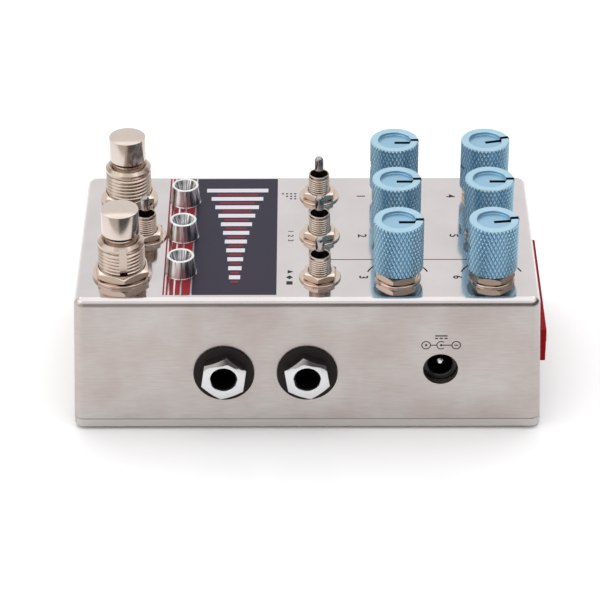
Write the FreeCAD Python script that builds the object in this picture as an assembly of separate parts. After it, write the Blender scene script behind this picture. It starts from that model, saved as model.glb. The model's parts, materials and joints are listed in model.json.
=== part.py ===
import FreeCAD, Part
import math
import os

from FreeCAD import Vector

# A delay pedal in a drafted die-cast box, in millimetres.
# The player stands at -Y and looks along +Y. +X is the right side, with two of the jacks and the power
# inlet, and +Z points up. The origin is the centre of the flat base, on what the pedal rests on.

# Box
LENGTH = 121.0
WIDTH = 66.0
HEIGHT = 38.0
BASE_THICK = 2.5
DRAFT_DEG = 2.0
WALL = 2.2
ROOF = 2.3
CORNER_R = 2.5
TOP_EDGE_R = 2.0
INNER_R = 1.2
POST_X = 28.0
POST_Y = 55.5
POST_R = 3.2
POST_HOLE_R = 1.4
POST_HOLE_DEPTH = 12.0
LIP_GAP = 0.2
LIP_WIDTH = 1.4
LIP_HEIGHT = 1.5
HOLE_GAP = 0.1
SLOT_REACH = (6.0, 4.0)

# Base screws
SCREW_R = 1.3
SCREW_LENGTH = 12.0
SCREW_HEAD_R = 3.15
SCREW_HEAD_DEPTH = 1.9
SCREW_SINK = 0.2
SCREW_GAP = 0.1
SCREW_SIDES = 12
CROSS_WIDTH = 0.9
CROSS_LENGTH = 3.6
CROSS_DEPTH = 1.1

# Places on the top plate
ROWS = {"left": -20.5, "middle": 0.0, "right": 20.5}
COLUMNS = {"front": 23.3, "rear": 47.4}
TOGGLE_COLUMN_Y = 3.3
FRONT_TOGGLE_Y = -42.15
SWITCH_X = 18.8
SWITCH_Y = -47.5
LED_X = 17.9
LED_Y = -32.4

# Knobs, pots and their hardware; heights of what shows are given above the top plate
KNOB_R = 6.5
KNOB_LOW = 3.2
KNOB_TOP = 17.25
KNOB_BEVEL = 0.35
DISH_R = 4.3
DISH_DEPTH = 0.85
POINTER_WIDTH = 0.95
POINTER_DEPTH = 0.35
GRUB_R = 1.5
GRUB_HEIGHT = 9.6
KNOB_SKIN = 3.2
KNOB_TURNS = {("rear", "left"): 13.5, ("rear", "right"): 7.5}
SHAFT_R = 3.0
SHAFT_TOP = 13.2
SHAFT_GAP = 0.05
SHAFT_LOW = 1.2
POT_BUSH_R = 3.5
POT_BUSH_TOP = 2.8
POT_BUSH_SUNK = 0.5
POT_BORE_LOW = 1.0
POT_SIZE = (9.8, 11.4, 6.8)
POT_NUT_FLATS = 10.2
POT_NUT_THICK = 2.0
POT_NUT_TURNS = {"front": -13.6, "rear": 19.0}
POT_WASHER_R = 5.9
THIN_WASHER = 0.5

# Toggle switches
TOGGLE_BUSH_R = 2.8
TOGGLE_BORE_R = 2.35
TOGGLE_BUSH_TOP = 7.1
TOGGLE_CASE = (12.7, 6.8, 8.9)
TOGGLE_POCKET = (6.4, 2.6, 3.4)
TOGGLE_NUT_FLATS = 8.0
TOGGLE_NUT_THICK = 1.8
TOGGLE_NUT_TURN = -6.0
TOGGLE_WASHER_R = 5.35
LEVER_R = 1.2
LEVER_NECK_R = 0.75
LEVER_TIP = 12.2
LEVER_SHOULDER = 7.9
LEVER_NECK_TOP = 6.6
LEVER_PIVOT = 3.4
LEVER_BALL_R = 2.2
LEVER_TAIL = -4.0

# Footswitches
BUSH_R = 6.0
BUSH_BORE_R = 4.25
BUSH_TOP = 11.1
BUSH_BEVEL = 0.75
BUSH_MOUTH_R = 4.9
KEYWAY_WIDTH = 2.0
KEYWAY_DEPTH = 0.9
KEYWAY_TURNS = {"left": 180.0, "right": 8.0}
SWITCH_NUT_FLATS = 13.0
SWITCH_NUT_THICK = 2.2
SWITCH_NUT_TURNS = {"left": 4.0, "right": 8.0}
SWITCH_WASHER_R = 7.7
SWITCH_WASHER_THICK = 0.8
SWITCH_CASE_R = 7.5
SWITCH_CASE_DEPTH = 13.0
SWITCH_LUG = (0.8, 2.4, 3.0)
SWITCH_LUG_X = 3.0
CAP_R = 4.88
CAP_TOP = 19.4
CAP_UNDER = 12.9
CAP_BEVEL = 0.15
PLUNGER_R = 4.15
PLUNGER_TOP = 12.0
PLUNGER_FOOT = -1.5
PLUNGER_POCKET = 4.6

# Indicator bezels and lamps
BEZEL_R = 4.1
BEZEL_FOOT = 0.25
BEZEL_RIM_R = 3.5
BEZEL_TOP = 5.1
BEZEL_MOUTH_R = 2.75
BEZEL_THROAT_R = 1.6
BEZEL_THROAT = 1.4
BEZEL_STEM_R = 2.95
BEZEL_STEM_END = -3.1
LAMP_R = 1.5
LAMP_TOP = 2.6
LAMP_FLANGE_R = 1.9
LAMP_FLANGE_THICK = 1.0
LAMP_LEG = 0.5
LAMP_LEG_X = 1.0

# Jacks on the two side walls; lengths run outwards from the outer face of the wall
JACKS_Y = {"front": -21.5, "rear": 0.1}
JACK_Z = 16.6
JACK_BORE_R = 3.25
JACK_NOSE_R = 4.7
JACK_NOSE_END = 2.9
NOSE_ROOT = 1.0
JACK_DEPTH = 28.8
JACK_BORE_DEPTH = 27.9
JACK_BLOCK = (15.5, 12.4)
JACK_WASHER_R = 7.8
JACK_WASHER_THICK = 0.8
JACK_NUT_FLATS = 10.8
JACK_NUT_THICK = 2.8
JACK_NUT_HOLE_R = 3.4
JACK_NUT_FRONT = 0.65
JACK_NUT_TURNS = {(1, "front"): -8.0, (1, "rear"): 9.0, (-1, "front"): 14.0, (-1, "rear"): -5.0}
SPRING_THICK = 0.4
SPRING_WIDTH = 2.4
SPRING_CLEAR = 0.3
SPRING_GAP = 0.1
SPRING_LEG = 1.2
BOARD_GAP = 0.02
SPRINGS_AT = ((-8.0, 8.0), (-24.5, 9.0))

# Power inlet in the right wall
INLET_Y = 34.25
INLET_Z = 17.6
INLET_HOLE_R = 4.5
INLET_NOSE_R = 4.4
INLET_SINK = 2.1
INLET_BORE_R = 3.15
INLET_BORE_DEPTH = 10.0
INLET_PIN_R = 1.05
INLET_PIN_SHORT = 1.3
INLET_PIN_BEVEL = 0.4
INLET_PIN_ROOT = 12.0
INLET_PIN_TAIL_R = 0.7
INLET_PIN_TAIL_UP = 0.5
INLET_BLOCK = (13.0, 9.4, 11.0)
INLET_LEG = (3.4, 2.4, 0.8)
INLET_LEGS_AT = (6.0, 11.6)

# Two banks of eight slide switches in the rear wall
BANK_LENGTH = 22.5
BANK_HEIGHT = 9.5
BANK_Z = 18.3
BANK_FACE_Y = 62.0
BANK_DEPTH = 6.6
BANK_GAP = 0.1
BANK_BEVEL = 0.2
BANK_LEG = 0.5
SLOT_GAP = 0.2
SLIDERS_PER_BANK = 8
SLIDER_PITCH = 2.54
SLIDER_TRAVEL = 2.2
SLIDER_NUB = (1.3, 1.9)
SLIDER_NUB_PROUD = 0.4
SLIDER_FOOT = (1.8, 2.7, 0.8)
SLIDER_WINDOW_DEPTH = 1.5
SLIDER_PLAY = 0.1

# Circuit boards and what stands on them
CONTROL_TOP = 26.8
CONTROL_OUTLINE = [(9.5, -46.0), (9.5, -38.5), (27.5, -38.5), (27.5, 48.5), (22.0, 54.0)]
MAIN_TOP = 9.2
MAIN_OUTLINE = [(24.0, -33.0), (28.5, -28.5), (28.5, 48.0), (23.5, 53.0), (23.5, 57.0)]
BOARD_THICK = 1.6
HEADER_SIZE = (20.3, 5.0)
HEADER_Y = 14.0
CHIP_SIZE = (9.8, 6.4, 3.5)
CHIP_XS = (-21.0, -7.0, 7.0)
CHIP_Y = 24.0
PROCESSOR_SIZE = (10.0, 10.0, 1.4)
PROCESSOR_AT = (2.0, 40.0)
CAN_R = 3.15
CAN_HEIGHT = 7.7
CANS_AT = ((-20.0, 36.0), (-11.0, 36.0), (-20.0, 46.0))

# How far a flat of a small turned piece may lie inside its true circle, which keeps the repeats light.
FLAT = 0.08
BALL_STEPS = 5
DOME_STEPS = 3
BREAK_THROUGH = 1.0
UP = Vector(0, 0, 1)
ORIGIN = Vector(0, 0, 0)


def box(low, high):
    size = [high[i] - low[i] for i in range(3)]
    return Part.makeBox(*size, Vector(*low))


def block(centre_x, centre_y, size, low_z):
    """A box of the given (x, y, z) size, centred on x and y, that stands on low_z."""
    low = (centre_x - size[0] / 2, centre_y - size[1] / 2, low_z)
    high = (centre_x + size[0] / 2, centre_y + size[1] / 2, low_z + size[2])
    return box(low, high)


def sides_for(radius):
    """The even number of flats that keeps a turned piece within FLAT of its circle."""
    return 2 * math.ceil(math.pi / math.acos(1 - FLAT / radius) / 2)


def turned(outline, sides=None):
    """The solid that a closed (radius, height) outline makes about the Z axis, as fine flats all round."""
    count = sides or sides_for(max(radius for radius, height in outline))
    steps = [2 * math.pi * i / count for i in range(count)]
    rings = [[Vector(r * math.cos(a), r * math.sin(a), z) for a in steps] for r, z in outline]
    faces = []
    for low, high in zip(rings, rings[1:] + rings[:1]):
        for i in range(count):
            corners = []
            for point in (low[i - 1], low[i], high[i], high[i - 1]):
                if all(point.distanceToPoint(other) > 1e-7 for other in corners):
                    corners.append(point)
            if len(corners) > 2:
                faces.append(Part.Face(Part.makePolygon(corners + corners[:1])))
    solid = Part.makeSolid(Part.makeShell(faces))
    if solid.Volume < 0:
        solid.reverse()
    return solid.removeSplitter()


def rod(radius, low_z, high_z):
    return turned([(0, low_z), (radius, low_z), (radius, high_z), (0, high_z)])


def arc(radius, centre_z, start_deg, end_deg, steps):
    """(radius, height) points along an arc about a centre on the Z axis, measured up from level."""
    angles = [math.radians(start_deg + (end_deg - start_deg) * i / steps) for i in range(steps + 1)]
    return [(radius * math.cos(a), centre_z + radius * math.sin(a)) for a in angles]


def nut(across_flats, thick, hole_r, turn_deg):
    """A hexagonal nut on Z = 0, with a corner on +X before its turn and 30 degree bevels at the corners."""
    corner_r = across_flats / math.sqrt(3)
    body = turned([(0, 0), (corner_r, 0), (corner_r, thick), (0, thick)], 6)
    face_r = across_flats / 2 + 0.1
    drop = (corner_r - face_r) * math.tan(math.radians(30))
    spread = 1 / math.cos(math.radians(30))
    outline = [(0, 0), (face_r, 0), (corner_r, drop)]
    outline += [(r, thick - z) for r, z in reversed(outline)]
    corners_off = turned([(r * spread, z) for r, z in outline], 6)
    corners_off.rotate(ORIGIN, UP, 30)
    body = body.common(corners_off).cut(rod(hole_r, -BREAK_THROUGH, thick + BREAK_THROUGH))
    body.rotate(ORIGIN, UP, turn_deg)
    return body


def washer(outer_r, hole_r, thick, low=0.0):
    high = low + thick
    return turned([(hole_r, low), (outer_r, low), (outer_r, high), (hole_r, high)])


def placed(shape, x, y, z=0.0):
    copy = shape.copy()
    copy.translate(Vector(x, y, z))
    return copy


def save(name, solids):
    shape = solids[0] if len(solids) == 1 else Part.makeCompound(solids)
    shape.exportStep(f"parts/{name}.step")
    print(name, len(solids), "solids", round(sum(s.Volume for s in solids), 2), "mm3")


def wall_x(z):
    """Half the width of the box's outside at a height: the walls lean in by the draft."""
    return WIDTH / 2 - (z - BASE_THICK) * math.tan(math.radians(DRAFT_DEG))


def drafted_block(half_x, half_y, low_z, high_z):
    """A block whose sides lean in by the draft: a wedge that narrows along Y, stood up along Z."""
    lean = (high_z - low_z) * math.tan(math.radians(DRAFT_DEG))
    x, y = half_x - lean, half_y - lean
    wedge = Part.makeWedge(-half_x, low_z, -half_y, -y, -x, half_x, high_z, half_y, y, x)
    wedge.rotate(ORIGIN, Vector(1, 0, 0), 90)
    return wedge


def upright_edges(shape):
    """The edges that climb from the bottom of a drafted block to its top."""
    return [e for e in shape.Edges if abs(e.Vertexes[0].Z - e.Vertexes[-1].Z) > 1.0]


def edges_at(shape, z):
    """The edges that lie in one level plane."""
    return [e for e in shape.Edges if all(abs(v.Z - z) < 1e-4 for v in e.Vertexes)]


def corner_places(x, y):
    return [(sx * x, sy * y) for sx in (-1, 1) for sy in (-1, 1)]


def jack_frame(shape, side, place):
    """Puts a shape drawn along +Z on a side wall: Z = 0 lands on its outer face, square to the draft."""
    copy = shape.copy()
    copy.rotate(ORIGIN, Vector(0, 1, 0), 90 - DRAFT_DEG)
    if side < 0:
        copy.rotate(ORIGIN, UP, 180)
    copy.translate(Vector(side * wall_x(JACK_Z), JACKS_Y[place], JACK_Z))
    return copy


def inlet_frame(shape):
    """Places a shape drawn along +Z in the power inlet's hole: Z = 0 lands on the inlet's mouth."""
    copy = shape.copy()
    copy.rotate(ORIGIN, Vector(0, 1, 0), 90)
    copy.translate(Vector(wall_x(INLET_Z) - INLET_SINK, INLET_Y, INLET_Z))
    return copy


def jack_places():
    return [(side, place) for side in (1, -1) for place in JACKS_Y]


def top_plate_cutters():
    """One round cutter for each bush that comes up through the top plate."""
    span = (HEIGHT - ROOF - BREAK_THROUGH, HEIGHT + BREAK_THROUGH)
    pot_hole = rod(POT_BUSH_R + HOLE_GAP, *span)
    toggle_hole = rod(TOGGLE_BUSH_R + HOLE_GAP, *span)
    switch_hole = rod(BUSH_R + HOLE_GAP, *span)
    lamp_hole = rod(BEZEL_STEM_R + HOLE_GAP, *span)
    cutters = []
    for x in ROWS.values():
        cutters += [placed(pot_hole, x, y) for y in COLUMNS.values()]
        cutters.append(placed(toggle_hole, x, TOGGLE_COLUMN_Y))
    cutters.append(placed(toggle_hole, 0, FRONT_TOGGLE_Y))
    cutters += [placed(switch_hole, side * SWITCH_X, SWITCH_Y) for side in (-1, 1)]
    cutters += [placed(lamp_hole, x, LED_Y) for x in (-LED_X, 0, LED_X)]
    return cutters


def side_wall_cutters():
    hole = rod(JACK_NOSE_R + HOLE_GAP, -WALL - BREAK_THROUGH, BREAK_THROUGH)
    cutters = [jack_frame(hole, side, place) for side, place in jack_places()]
    inlet = rod(INLET_HOLE_R, -2 * WALL, INLET_SINK + BREAK_THROUGH)
    return cutters + [inlet_frame(inlet)]


def rear_wall_slot():
    half_x = BANK_LENGTH + BANK_GAP / 2 + SLOT_GAP
    half_z = BANK_HEIGHT / 2 + SLOT_GAP
    inwards, outwards = SLOT_REACH
    low = (-half_x, LENGTH / 2 - inwards, BANK_Z - half_z)
    return box(low, (half_x, LENGTH / 2 + outwards, BANK_Z + half_z))


def enclosure_shell():
    """The cast box: drafted walls, rounded edges, four screw posts and the holes for every control."""
    outside = drafted_block(WIDTH / 2, LENGTH / 2, BASE_THICK, HEIGHT)
    outside = outside.makeFillet(CORNER_R, upright_edges(outside))
    outside = outside.makeFillet(TOP_EDGE_R, edges_at(outside, HEIGHT)).Solids[0]
    inside = drafted_block(WIDTH / 2 - WALL, LENGTH / 2 - WALL, BASE_THICK, HEIGHT - ROOF)
    inside = inside.makeFillet(INNER_R, upright_edges(inside))
    post = rod(POST_R, BASE_THICK, HEIGHT - ROOF / 2)
    hole = rod(POST_HOLE_R, BASE_THICK - BREAK_THROUGH, BASE_THICK + POST_HOLE_DEPTH)
    corners = corner_places(POST_X, POST_Y)
    posts = [placed(post, x, y).common(outside) for x, y in corners]
    shell = outside.cut(inside).fuse(posts).removeSplitter()
    holes = [placed(hole, x, y) for x, y in corners]
    return shell.cut(holes + top_plate_cutters() + side_wall_cutters() + [rear_wall_slot()])


def rounded_plate(half_x, half_y, low_z, high_z, corner_r):
    plate = box((-half_x, -half_y, low_z), (half_x, half_y, high_z))
    return plate.makeFillet(corner_r, upright_edges(plate))


def base_plate():
    """The flat cover: as wide as the box, with a rib inside each wall and four countersunk holes."""
    plate = rounded_plate(WIDTH / 2, LENGTH / 2, 0, BASE_THICK, CORNER_R)
    rib_x = WIDTH / 2 - WALL - LIP_GAP - LIP_WIDTH / 2
    rib_y = LENGTH / 2 - WALL - LIP_GAP - LIP_WIDTH / 2
    long_rib = (LIP_WIDTH, 2 * (POST_Y - POST_R - LIP_GAP), LIP_HEIGHT)
    short_rib = (2 * (POST_X - POST_R - LIP_GAP), LIP_WIDTH, LIP_HEIGHT)
    ribs = [block(side * rib_x, 0, long_rib, BASE_THICK) for side in (-1, 1)]
    ribs += [block(0, side * rib_y, short_rib, BASE_THICK) for side in (-1, 1)]
    sink_r, hole_r = SCREW_HEAD_R + SCREW_GAP, SCREW_R + 2 * SCREW_GAP
    head_end = SCREW_SINK + SCREW_HEAD_DEPTH
    low, high = -BREAK_THROUGH, BASE_THICK + BREAK_THROUGH
    outline = [(0, low), (sink_r, low), (sink_r, SCREW_SINK), (hole_r, head_end), (hole_r, high)]
    sink = turned(outline + [(0, high)], SCREW_SIDES)
    plate = plate.fuse(ribs).removeSplitter()
    return plate.cut([placed(sink, x, y) for x, y in corner_places(POST_X, POST_Y)])


def base_screw():
    """A countersunk screw, head down, with a cross recess."""
    screw = turned(
        [
            (0, SCREW_SINK),
            (SCREW_HEAD_R, SCREW_SINK),
            (SCREW_R, SCREW_SINK + SCREW_HEAD_DEPTH),
            (SCREW_R, SCREW_LENGTH),
            (0, SCREW_LENGTH),
        ],
        SCREW_SIDES,
    )
    depth = CROSS_DEPTH + BREAK_THROUGH
    for size in ((CROSS_LENGTH, CROSS_WIDTH, depth), (CROSS_WIDTH, CROSS_LENGTH, depth)):
        screw = screw.cut(block(0, 0, size, SCREW_SINK - BREAK_THROUGH))
    return screw


def knob():
    """A turned knob: a dished top, a pointer groove from its centre over the rim, a side screw hole."""
    low, high = HEIGHT + KNOB_LOW, HEIGHT + KNOB_TOP
    floor = high - DISH_DEPTH
    body = turned(
        [
            (SHAFT_R, low),
            (KNOB_R, low),
            (KNOB_R, high - KNOB_BEVEL),
            (KNOB_R - KNOB_BEVEL, high),
            (DISH_R, high),
            (DISH_R, floor),
            (0, floor),
            (0, high - KNOB_SKIN),
            (SHAFT_R, high - KNOB_SKIN),
        ]
    )
    half = POINTER_WIDTH / 2
    across_floor = box((-half, 0, floor - POINTER_DEPTH), (half, DISH_R, high))
    rim_floor = high - POINTER_DEPTH
    rim_start = DISH_R - POINTER_DEPTH
    across_rim = box((-half, rim_start, rim_floor), (half, KNOB_R, high + BREAK_THROUGH))
    hole = rod(GRUB_R, 0, KNOB_R)
    hole.rotate(ORIGIN, Vector(1, 0, 0), 90)
    hole.translate(Vector(0, 0, HEIGHT + GRUB_HEIGHT))
    hole = hole.cut(rod(SHAFT_R - BREAK_THROUGH, low, high))
    return body.cut([across_floor, across_rim, hole])


def pot_shaft():
    """A round shaft that turns in the pot's bush and carries the knob."""
    return rod(SHAFT_R - SHAFT_GAP, CONTROL_TOP + SHAFT_LOW, HEIGHT + SHAFT_TOP)


def pot_housing():
    """The pot's case, which stands on the control board, and the bush that comes up through the plate."""
    case = block(0, 0, POT_SIZE, CONTROL_TOP)
    top = HEIGHT + POT_BUSH_TOP
    bush = rod(POT_BUSH_R, CONTROL_TOP + POT_SIZE[2] - POT_BUSH_SUNK, top)
    bore = rod(SHAFT_R + SHAFT_GAP, CONTROL_TOP + POT_BORE_LOW, top + BREAK_THROUGH)
    return case.fuse(bush).removeSplitter().cut(bore)


def toggle_bush():
    """The thin threaded sleeve that the lever stands in."""
    return washer(TOGGLE_BUSH_R, TOGGLE_BORE_R, ROOF + TOGGLE_BUSH_TOP, HEIGHT - ROOF)


def toggle_case():
    """The switch body under the plate, with the pocket that the lever's tail swings in."""
    case = block(0, 0, TOGGLE_CASE, HEIGHT - ROOF - TOGGLE_CASE[2])
    return case.cut(block(0, 0, TOGGLE_POCKET, HEIGHT - ROOF - TOGGLE_POCKET[2] + BREAK_THROUGH))


def toggle_lever():
    """A round lever: a domed tip, a narrow neck, a ball at its pivot, a tail that works the contacts."""
    pivot = HEIGHT + LEVER_PIVOT
    meet_deg = math.degrees(math.acos(LEVER_NECK_R / LEVER_BALL_R))
    outline = [(0, HEIGHT + LEVER_TAIL), (LEVER_NECK_R, HEIGHT + LEVER_TAIL)]
    outline += arc(LEVER_BALL_R, pivot, -meet_deg, meet_deg, BALL_STEPS)
    outline += [(LEVER_NECK_R, HEIGHT + LEVER_NECK_TOP), (LEVER_R, HEIGHT + LEVER_SHOULDER)]
    outline += arc(LEVER_R, HEIGHT + LEVER_TIP - LEVER_R, 0, 90, DOME_STEPS)
    return turned(outline)


def footswitch_bush(side):
    """The heavy threaded sleeve, bevelled at its mouth, with a keyway down one side."""
    low, high = HEIGHT - ROOF, HEIGHT + BUSH_TOP
    bush = turned(
        [
            (BUSH_BORE_R, low),
            (BUSH_R, low),
            (BUSH_R, high - BUSH_BEVEL),
            (BUSH_R - BUSH_BEVEL, high),
            (BUSH_MOUTH_R, high),
            (BUSH_BORE_R, high - (BUSH_MOUTH_R - BUSH_BORE_R)),
        ]
    )
    half = KEYWAY_WIDTH / 2
    keyway_top = high - BUSH_BEVEL / 2
    low_corner = (BUSH_R - KEYWAY_DEPTH, -half, HEIGHT)
    bush = bush.cut(box(low_corner, (BUSH_R + BREAK_THROUGH, half, keyway_top)))
    bush.rotate(ORIGIN, UP, KEYWAY_TURNS[side])
    return bush


def footswitch_case():
    """The round switch body under the plate, with the pocket that the plunger's foot drops into."""
    top = HEIGHT - ROOF
    low = top - SWITCH_CASE_DEPTH
    pocket_r = BUSH_BORE_R + HOLE_GAP
    floor = top - PLUNGER_POCKET
    outline = [(0, low), (SWITCH_CASE_R, low), (SWITCH_CASE_R, top), (pocket_r, top)]
    case = turned(outline + [(pocket_r, floor), (0, floor)])
    lugs_at = (-SWITCH_LUG_X, SWITCH_LUG_X)
    return case.fuse([block(x, 0, SWITCH_LUG, low - SWITCH_LUG[2]) for x in lugs_at])


def footswitch_plunger():
    """The button: a broad cap that narrows to the rod which slides in the bush."""
    outline = [
        (0, PLUNGER_FOOT),
        (PLUNGER_R, PLUNGER_FOOT),
        (PLUNGER_R, PLUNGER_TOP),
        (CAP_R, CAP_UNDER),
        (CAP_R, CAP_TOP - CAP_BEVEL),
        (CAP_R - CAP_BEVEL, CAP_TOP),
        (0, CAP_TOP),
    ]
    return turned([(radius, HEIGHT + height) for radius, height in outline])


def led_bezel():
    """A cone that stands on the plate, with a funnel inside and a plain stem pressed through the plate."""
    outline = [
        (BEZEL_THROAT_R, BEZEL_STEM_END),
        (BEZEL_STEM_R, BEZEL_STEM_END),
        (BEZEL_STEM_R, 0),
        (BEZEL_R, 0),
        (BEZEL_R, BEZEL_FOOT),
        (BEZEL_RIM_R, BEZEL_TOP),
        (BEZEL_MOUTH_R, BEZEL_TOP),
        (BEZEL_THROAT_R, BEZEL_THROAT),
    ]
    return turned([(radius, HEIGHT + height) for radius, height in outline])


def led_lamp():
    """A small round lamp with a domed top, a flange and two legs down to the control board."""
    rim = HEIGHT + BEZEL_STEM_END
    low = rim - LAMP_FLANGE_THICK
    outline = [(0, low), (LAMP_FLANGE_R, low), (LAMP_FLANGE_R, rim), (LAMP_R, rim)]
    outline += arc(LAMP_R, HEIGHT + LAMP_TOP - LAMP_R, 0, 90, DOME_STEPS)
    leg = (LAMP_LEG, LAMP_LEG, low - CONTROL_TOP)
    return turned(outline).fuse([block(x, 0, leg, CONTROL_TOP) for x in (-LAMP_LEG_X, LAMP_LEG_X)])


def jack_washer():
    return washer(JACK_WASHER_R, JACK_NOSE_R + HOLE_GAP, JACK_WASHER_THICK)


def jack_nut(side, place):
    """A capped nut: threaded over the jack's nose, with a smaller hole through its front for the plug."""
    turn = JACK_NUT_TURNS[(side, place)]
    body = nut(JACK_NUT_FLATS, JACK_NUT_THICK, JACK_NUT_HOLE_R, turn)
    well = rod(JACK_NOSE_R + HOLE_GAP, -BREAK_THROUGH, JACK_NUT_THICK - JACK_NUT_FRONT)
    return placed(body.cut(well), 0, 0, JACK_WASHER_THICK)


def jack_contact(at, length):
    """A flat contact spring beside the bore and its leg, which goes down to the main board."""
    inner = JACK_BORE_R + SPRING_CLEAR
    half = SPRING_WIDTH / 2
    leaf = box((inner, -half, at - length / 2), (inner + SPRING_THICK, half, at + length / 2))
    draft = math.radians(DRAFT_DEG)
    leg_end = (JACK_Z + at * math.sin(draft) - MAIN_TOP) / math.cos(draft) - BOARD_GAP
    leg_low = (inner, -SPRING_LEG / 2, at - SPRING_THICK)
    leg = box(leg_low, (leg_end, SPRING_LEG / 2, at + SPRING_THICK))
    return leaf.fuse(leg).removeSplitter()


def spring_windows(at, length):
    """The window that a contact spring stands in, open to the bore, and the way down for its leg."""
    inner = JACK_BORE_R - SPRING_CLEAR
    half, half_length = SPRING_WIDTH / 2 + SPRING_GAP, length / 2 + SPRING_GAP
    outer = JACK_BORE_R + SPRING_CLEAR + SPRING_THICK + SPRING_GAP
    window = box((inner, -half, at - half_length), (outer, half, at + half_length))
    leg_half, leg_thick = SPRING_LEG / 2 + SPRING_GAP, SPRING_THICK + SPRING_GAP
    way = box((inner, -leg_half, at - leg_thick), (JACK_BLOCK[1], leg_half, at + leg_thick))
    return [window, way]


def jack_housing():
    """The moulded jack: a block inside the wall and a round nose through it, bored for the plug."""
    back = -WALL * math.cos(math.radians(DRAFT_DEG)) - BOARD_GAP
    body = block(0, 0, (JACK_BLOCK[1], JACK_BLOCK[0], JACK_DEPTH + back), -JACK_DEPTH)
    body = body.fuse(rod(JACK_NOSE_R, back - NOSE_ROOT, JACK_NOSE_END)).removeSplitter()
    bore_length = JACK_BORE_DEPTH + JACK_NOSE_END + BREAK_THROUGH
    cutters = [Part.makeCylinder(JACK_BORE_R, bore_length, Vector(0, 0, -JACK_BORE_DEPTH), UP)]
    for at, length in SPRINGS_AT:
        cutters += spring_windows(at, length)
    return body.cut(cutters)


def inlet_socket():
    """The power inlet: a block on the main board, bored for its plug, with a low nose behind the hole."""
    length, width, height = INLET_BLOCK
    front = wall_x(INLET_Z + height / 2) - WALL - HOLE_GAP - (wall_x(INLET_Z) - INLET_SINK)
    body = block(0, 0, (height, width, length), front - length)
    body = body.fuse(rod(INLET_NOSE_R, front - NOSE_ROOT, 0)).removeSplitter()
    below = INLET_Z - MAIN_TOP
    leg_x, leg_y, leg_z = INLET_LEG
    for at in INLET_LEGS_AT:
        leg_low = (below - leg_x, -leg_y / 2, front - at - leg_z)
        body = body.fuse(box(leg_low, (below, leg_y / 2, front - at)))
    bore_length = INLET_BORE_DEPTH + BREAK_THROUGH
    bore = Part.makeCylinder(INLET_BORE_R, bore_length, Vector(0, 0, -INLET_BORE_DEPTH), UP)
    root = Part.makeCylinder(INLET_PIN_TAIL_R, INLET_PIN_ROOT, Vector(0, 0, -INLET_PIN_ROOT), UP)
    return body.cut([bore, root])


def inlet_pin():
    """The inlet's centre pin: a rounded end inside the mouth, and a tail riveted in the bore's floor."""
    foot = INLET_BORE_DEPTH - INLET_PIN_TAIL_UP
    pin = Part.makeCylinder(INLET_PIN_R, foot - INLET_PIN_SHORT, Vector(0, 0, -foot), UP)
    end = [e for e in pin.Edges if all(abs(v.Z + INLET_PIN_SHORT) < 1e-4 for v in e.Vertexes)]
    pin = pin.makeChamfer(INLET_PIN_BEVEL, end)
    tail = Part.makeCylinder(INLET_PIN_TAIL_R, INLET_PIN_ROOT - foot, Vector(0, 0, -INLET_PIN_ROOT), UP)
    return pin.fuse(tail)


def bank_xs(bank):
    """The X places of one bank's sliders, from the left."""
    first = bank * (BANK_LENGTH + BANK_GAP) / 2 - (SLIDERS_PER_BANK - 1) / 2 * SLIDER_PITCH
    return [first + i * SLIDER_PITCH for i in range(SLIDERS_PER_BANK)]


def bank_housing(bank):
    """A bank of eight slide switches: a block through the rear wall, a window and a track for each."""
    centre = bank * (BANK_LENGTH + BANK_GAP) / 2
    back = BANK_FACE_Y - BANK_DEPTH
    low_z = BANK_Z - BANK_HEIGHT / 2
    low = (centre - BANK_LENGTH / 2, back, low_z)
    body = box(low, (centre + BANK_LENGTH / 2, BANK_FACE_Y, low_z + BANK_HEIGHT))
    face_edges = [e for e in body.Edges if all(v.Y > BANK_FACE_Y - 1e-4 for v in e.Vertexes)]
    body = body.makeChamfer(BANK_BEVEL, face_edges)
    window_x = SLIDER_NUB[0] / 2 + SLIDER_PLAY
    window_z = (SLIDER_NUB[1] + SLIDER_TRAVEL) / 2 + SLIDER_PLAY
    track_x = SLIDER_FOOT[0] / 2 + SLIDER_PLAY
    track_z = (SLIDER_FOOT[1] + SLIDER_TRAVEL) / 2 + SLIDER_PLAY
    front = BANK_FACE_Y - SLIDER_WINDOW_DEPTH
    rear = front - SLIDER_FOOT[2] - 2 * SLIDER_PLAY
    window = box((-window_x, rear, -window_z), (window_x, BANK_FACE_Y, window_z))
    track = box((-track_x, rear, -track_z), (track_x, front, track_z))
    leg = block(0, back + BANK_LEG, (BANK_LEG, BANK_LEG, low_z - MAIN_TOP), MAIN_TOP)
    cutters = []
    legs = []
    for x in bank_xs(bank):
        cutters += [placed(window, x, 0, BANK_Z), placed(track, x, 0, BANK_Z)]
        legs.append(placed(leg, x, 0))
    return body.cut(cutters).fuse(legs).removeSplitter()


def slider(x):
    """One slide switch's nub, at the top of its window, and the foot that runs in the track behind."""
    middle = BANK_Z + SLIDER_TRAVEL / 2
    front = BANK_FACE_Y - SLIDER_WINDOW_DEPTH - SLIDER_PLAY
    nub_x, nub_z = [size / 2 for size in SLIDER_NUB]
    face = BANK_FACE_Y + SLIDER_NUB_PROUD
    nub = box((x - nub_x, front, middle - nub_z), (x + nub_x, face, middle + nub_z))
    foot_x, foot_z = SLIDER_FOOT[0] / 2, SLIDER_FOOT[1] / 2
    foot = box((x - foot_x, front - SLIDER_FOOT[2], middle - foot_z), (x + foot_x, front, middle + foot_z))
    return nub.fuse(foot).removeSplitter()


def outline_board(points, top):
    corners = [Vector(x, y, top - BOARD_THICK) for x, y in points]
    return Part.Face(Part.makePolygon(corners + corners[:1])).extrude(Vector(0, 0, BOARD_THICK))


def mirrored(points):
    """A closed outline from its right half, given from the front to the rear."""
    return points + [(-x, y) for x, y in reversed(points)]


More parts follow.
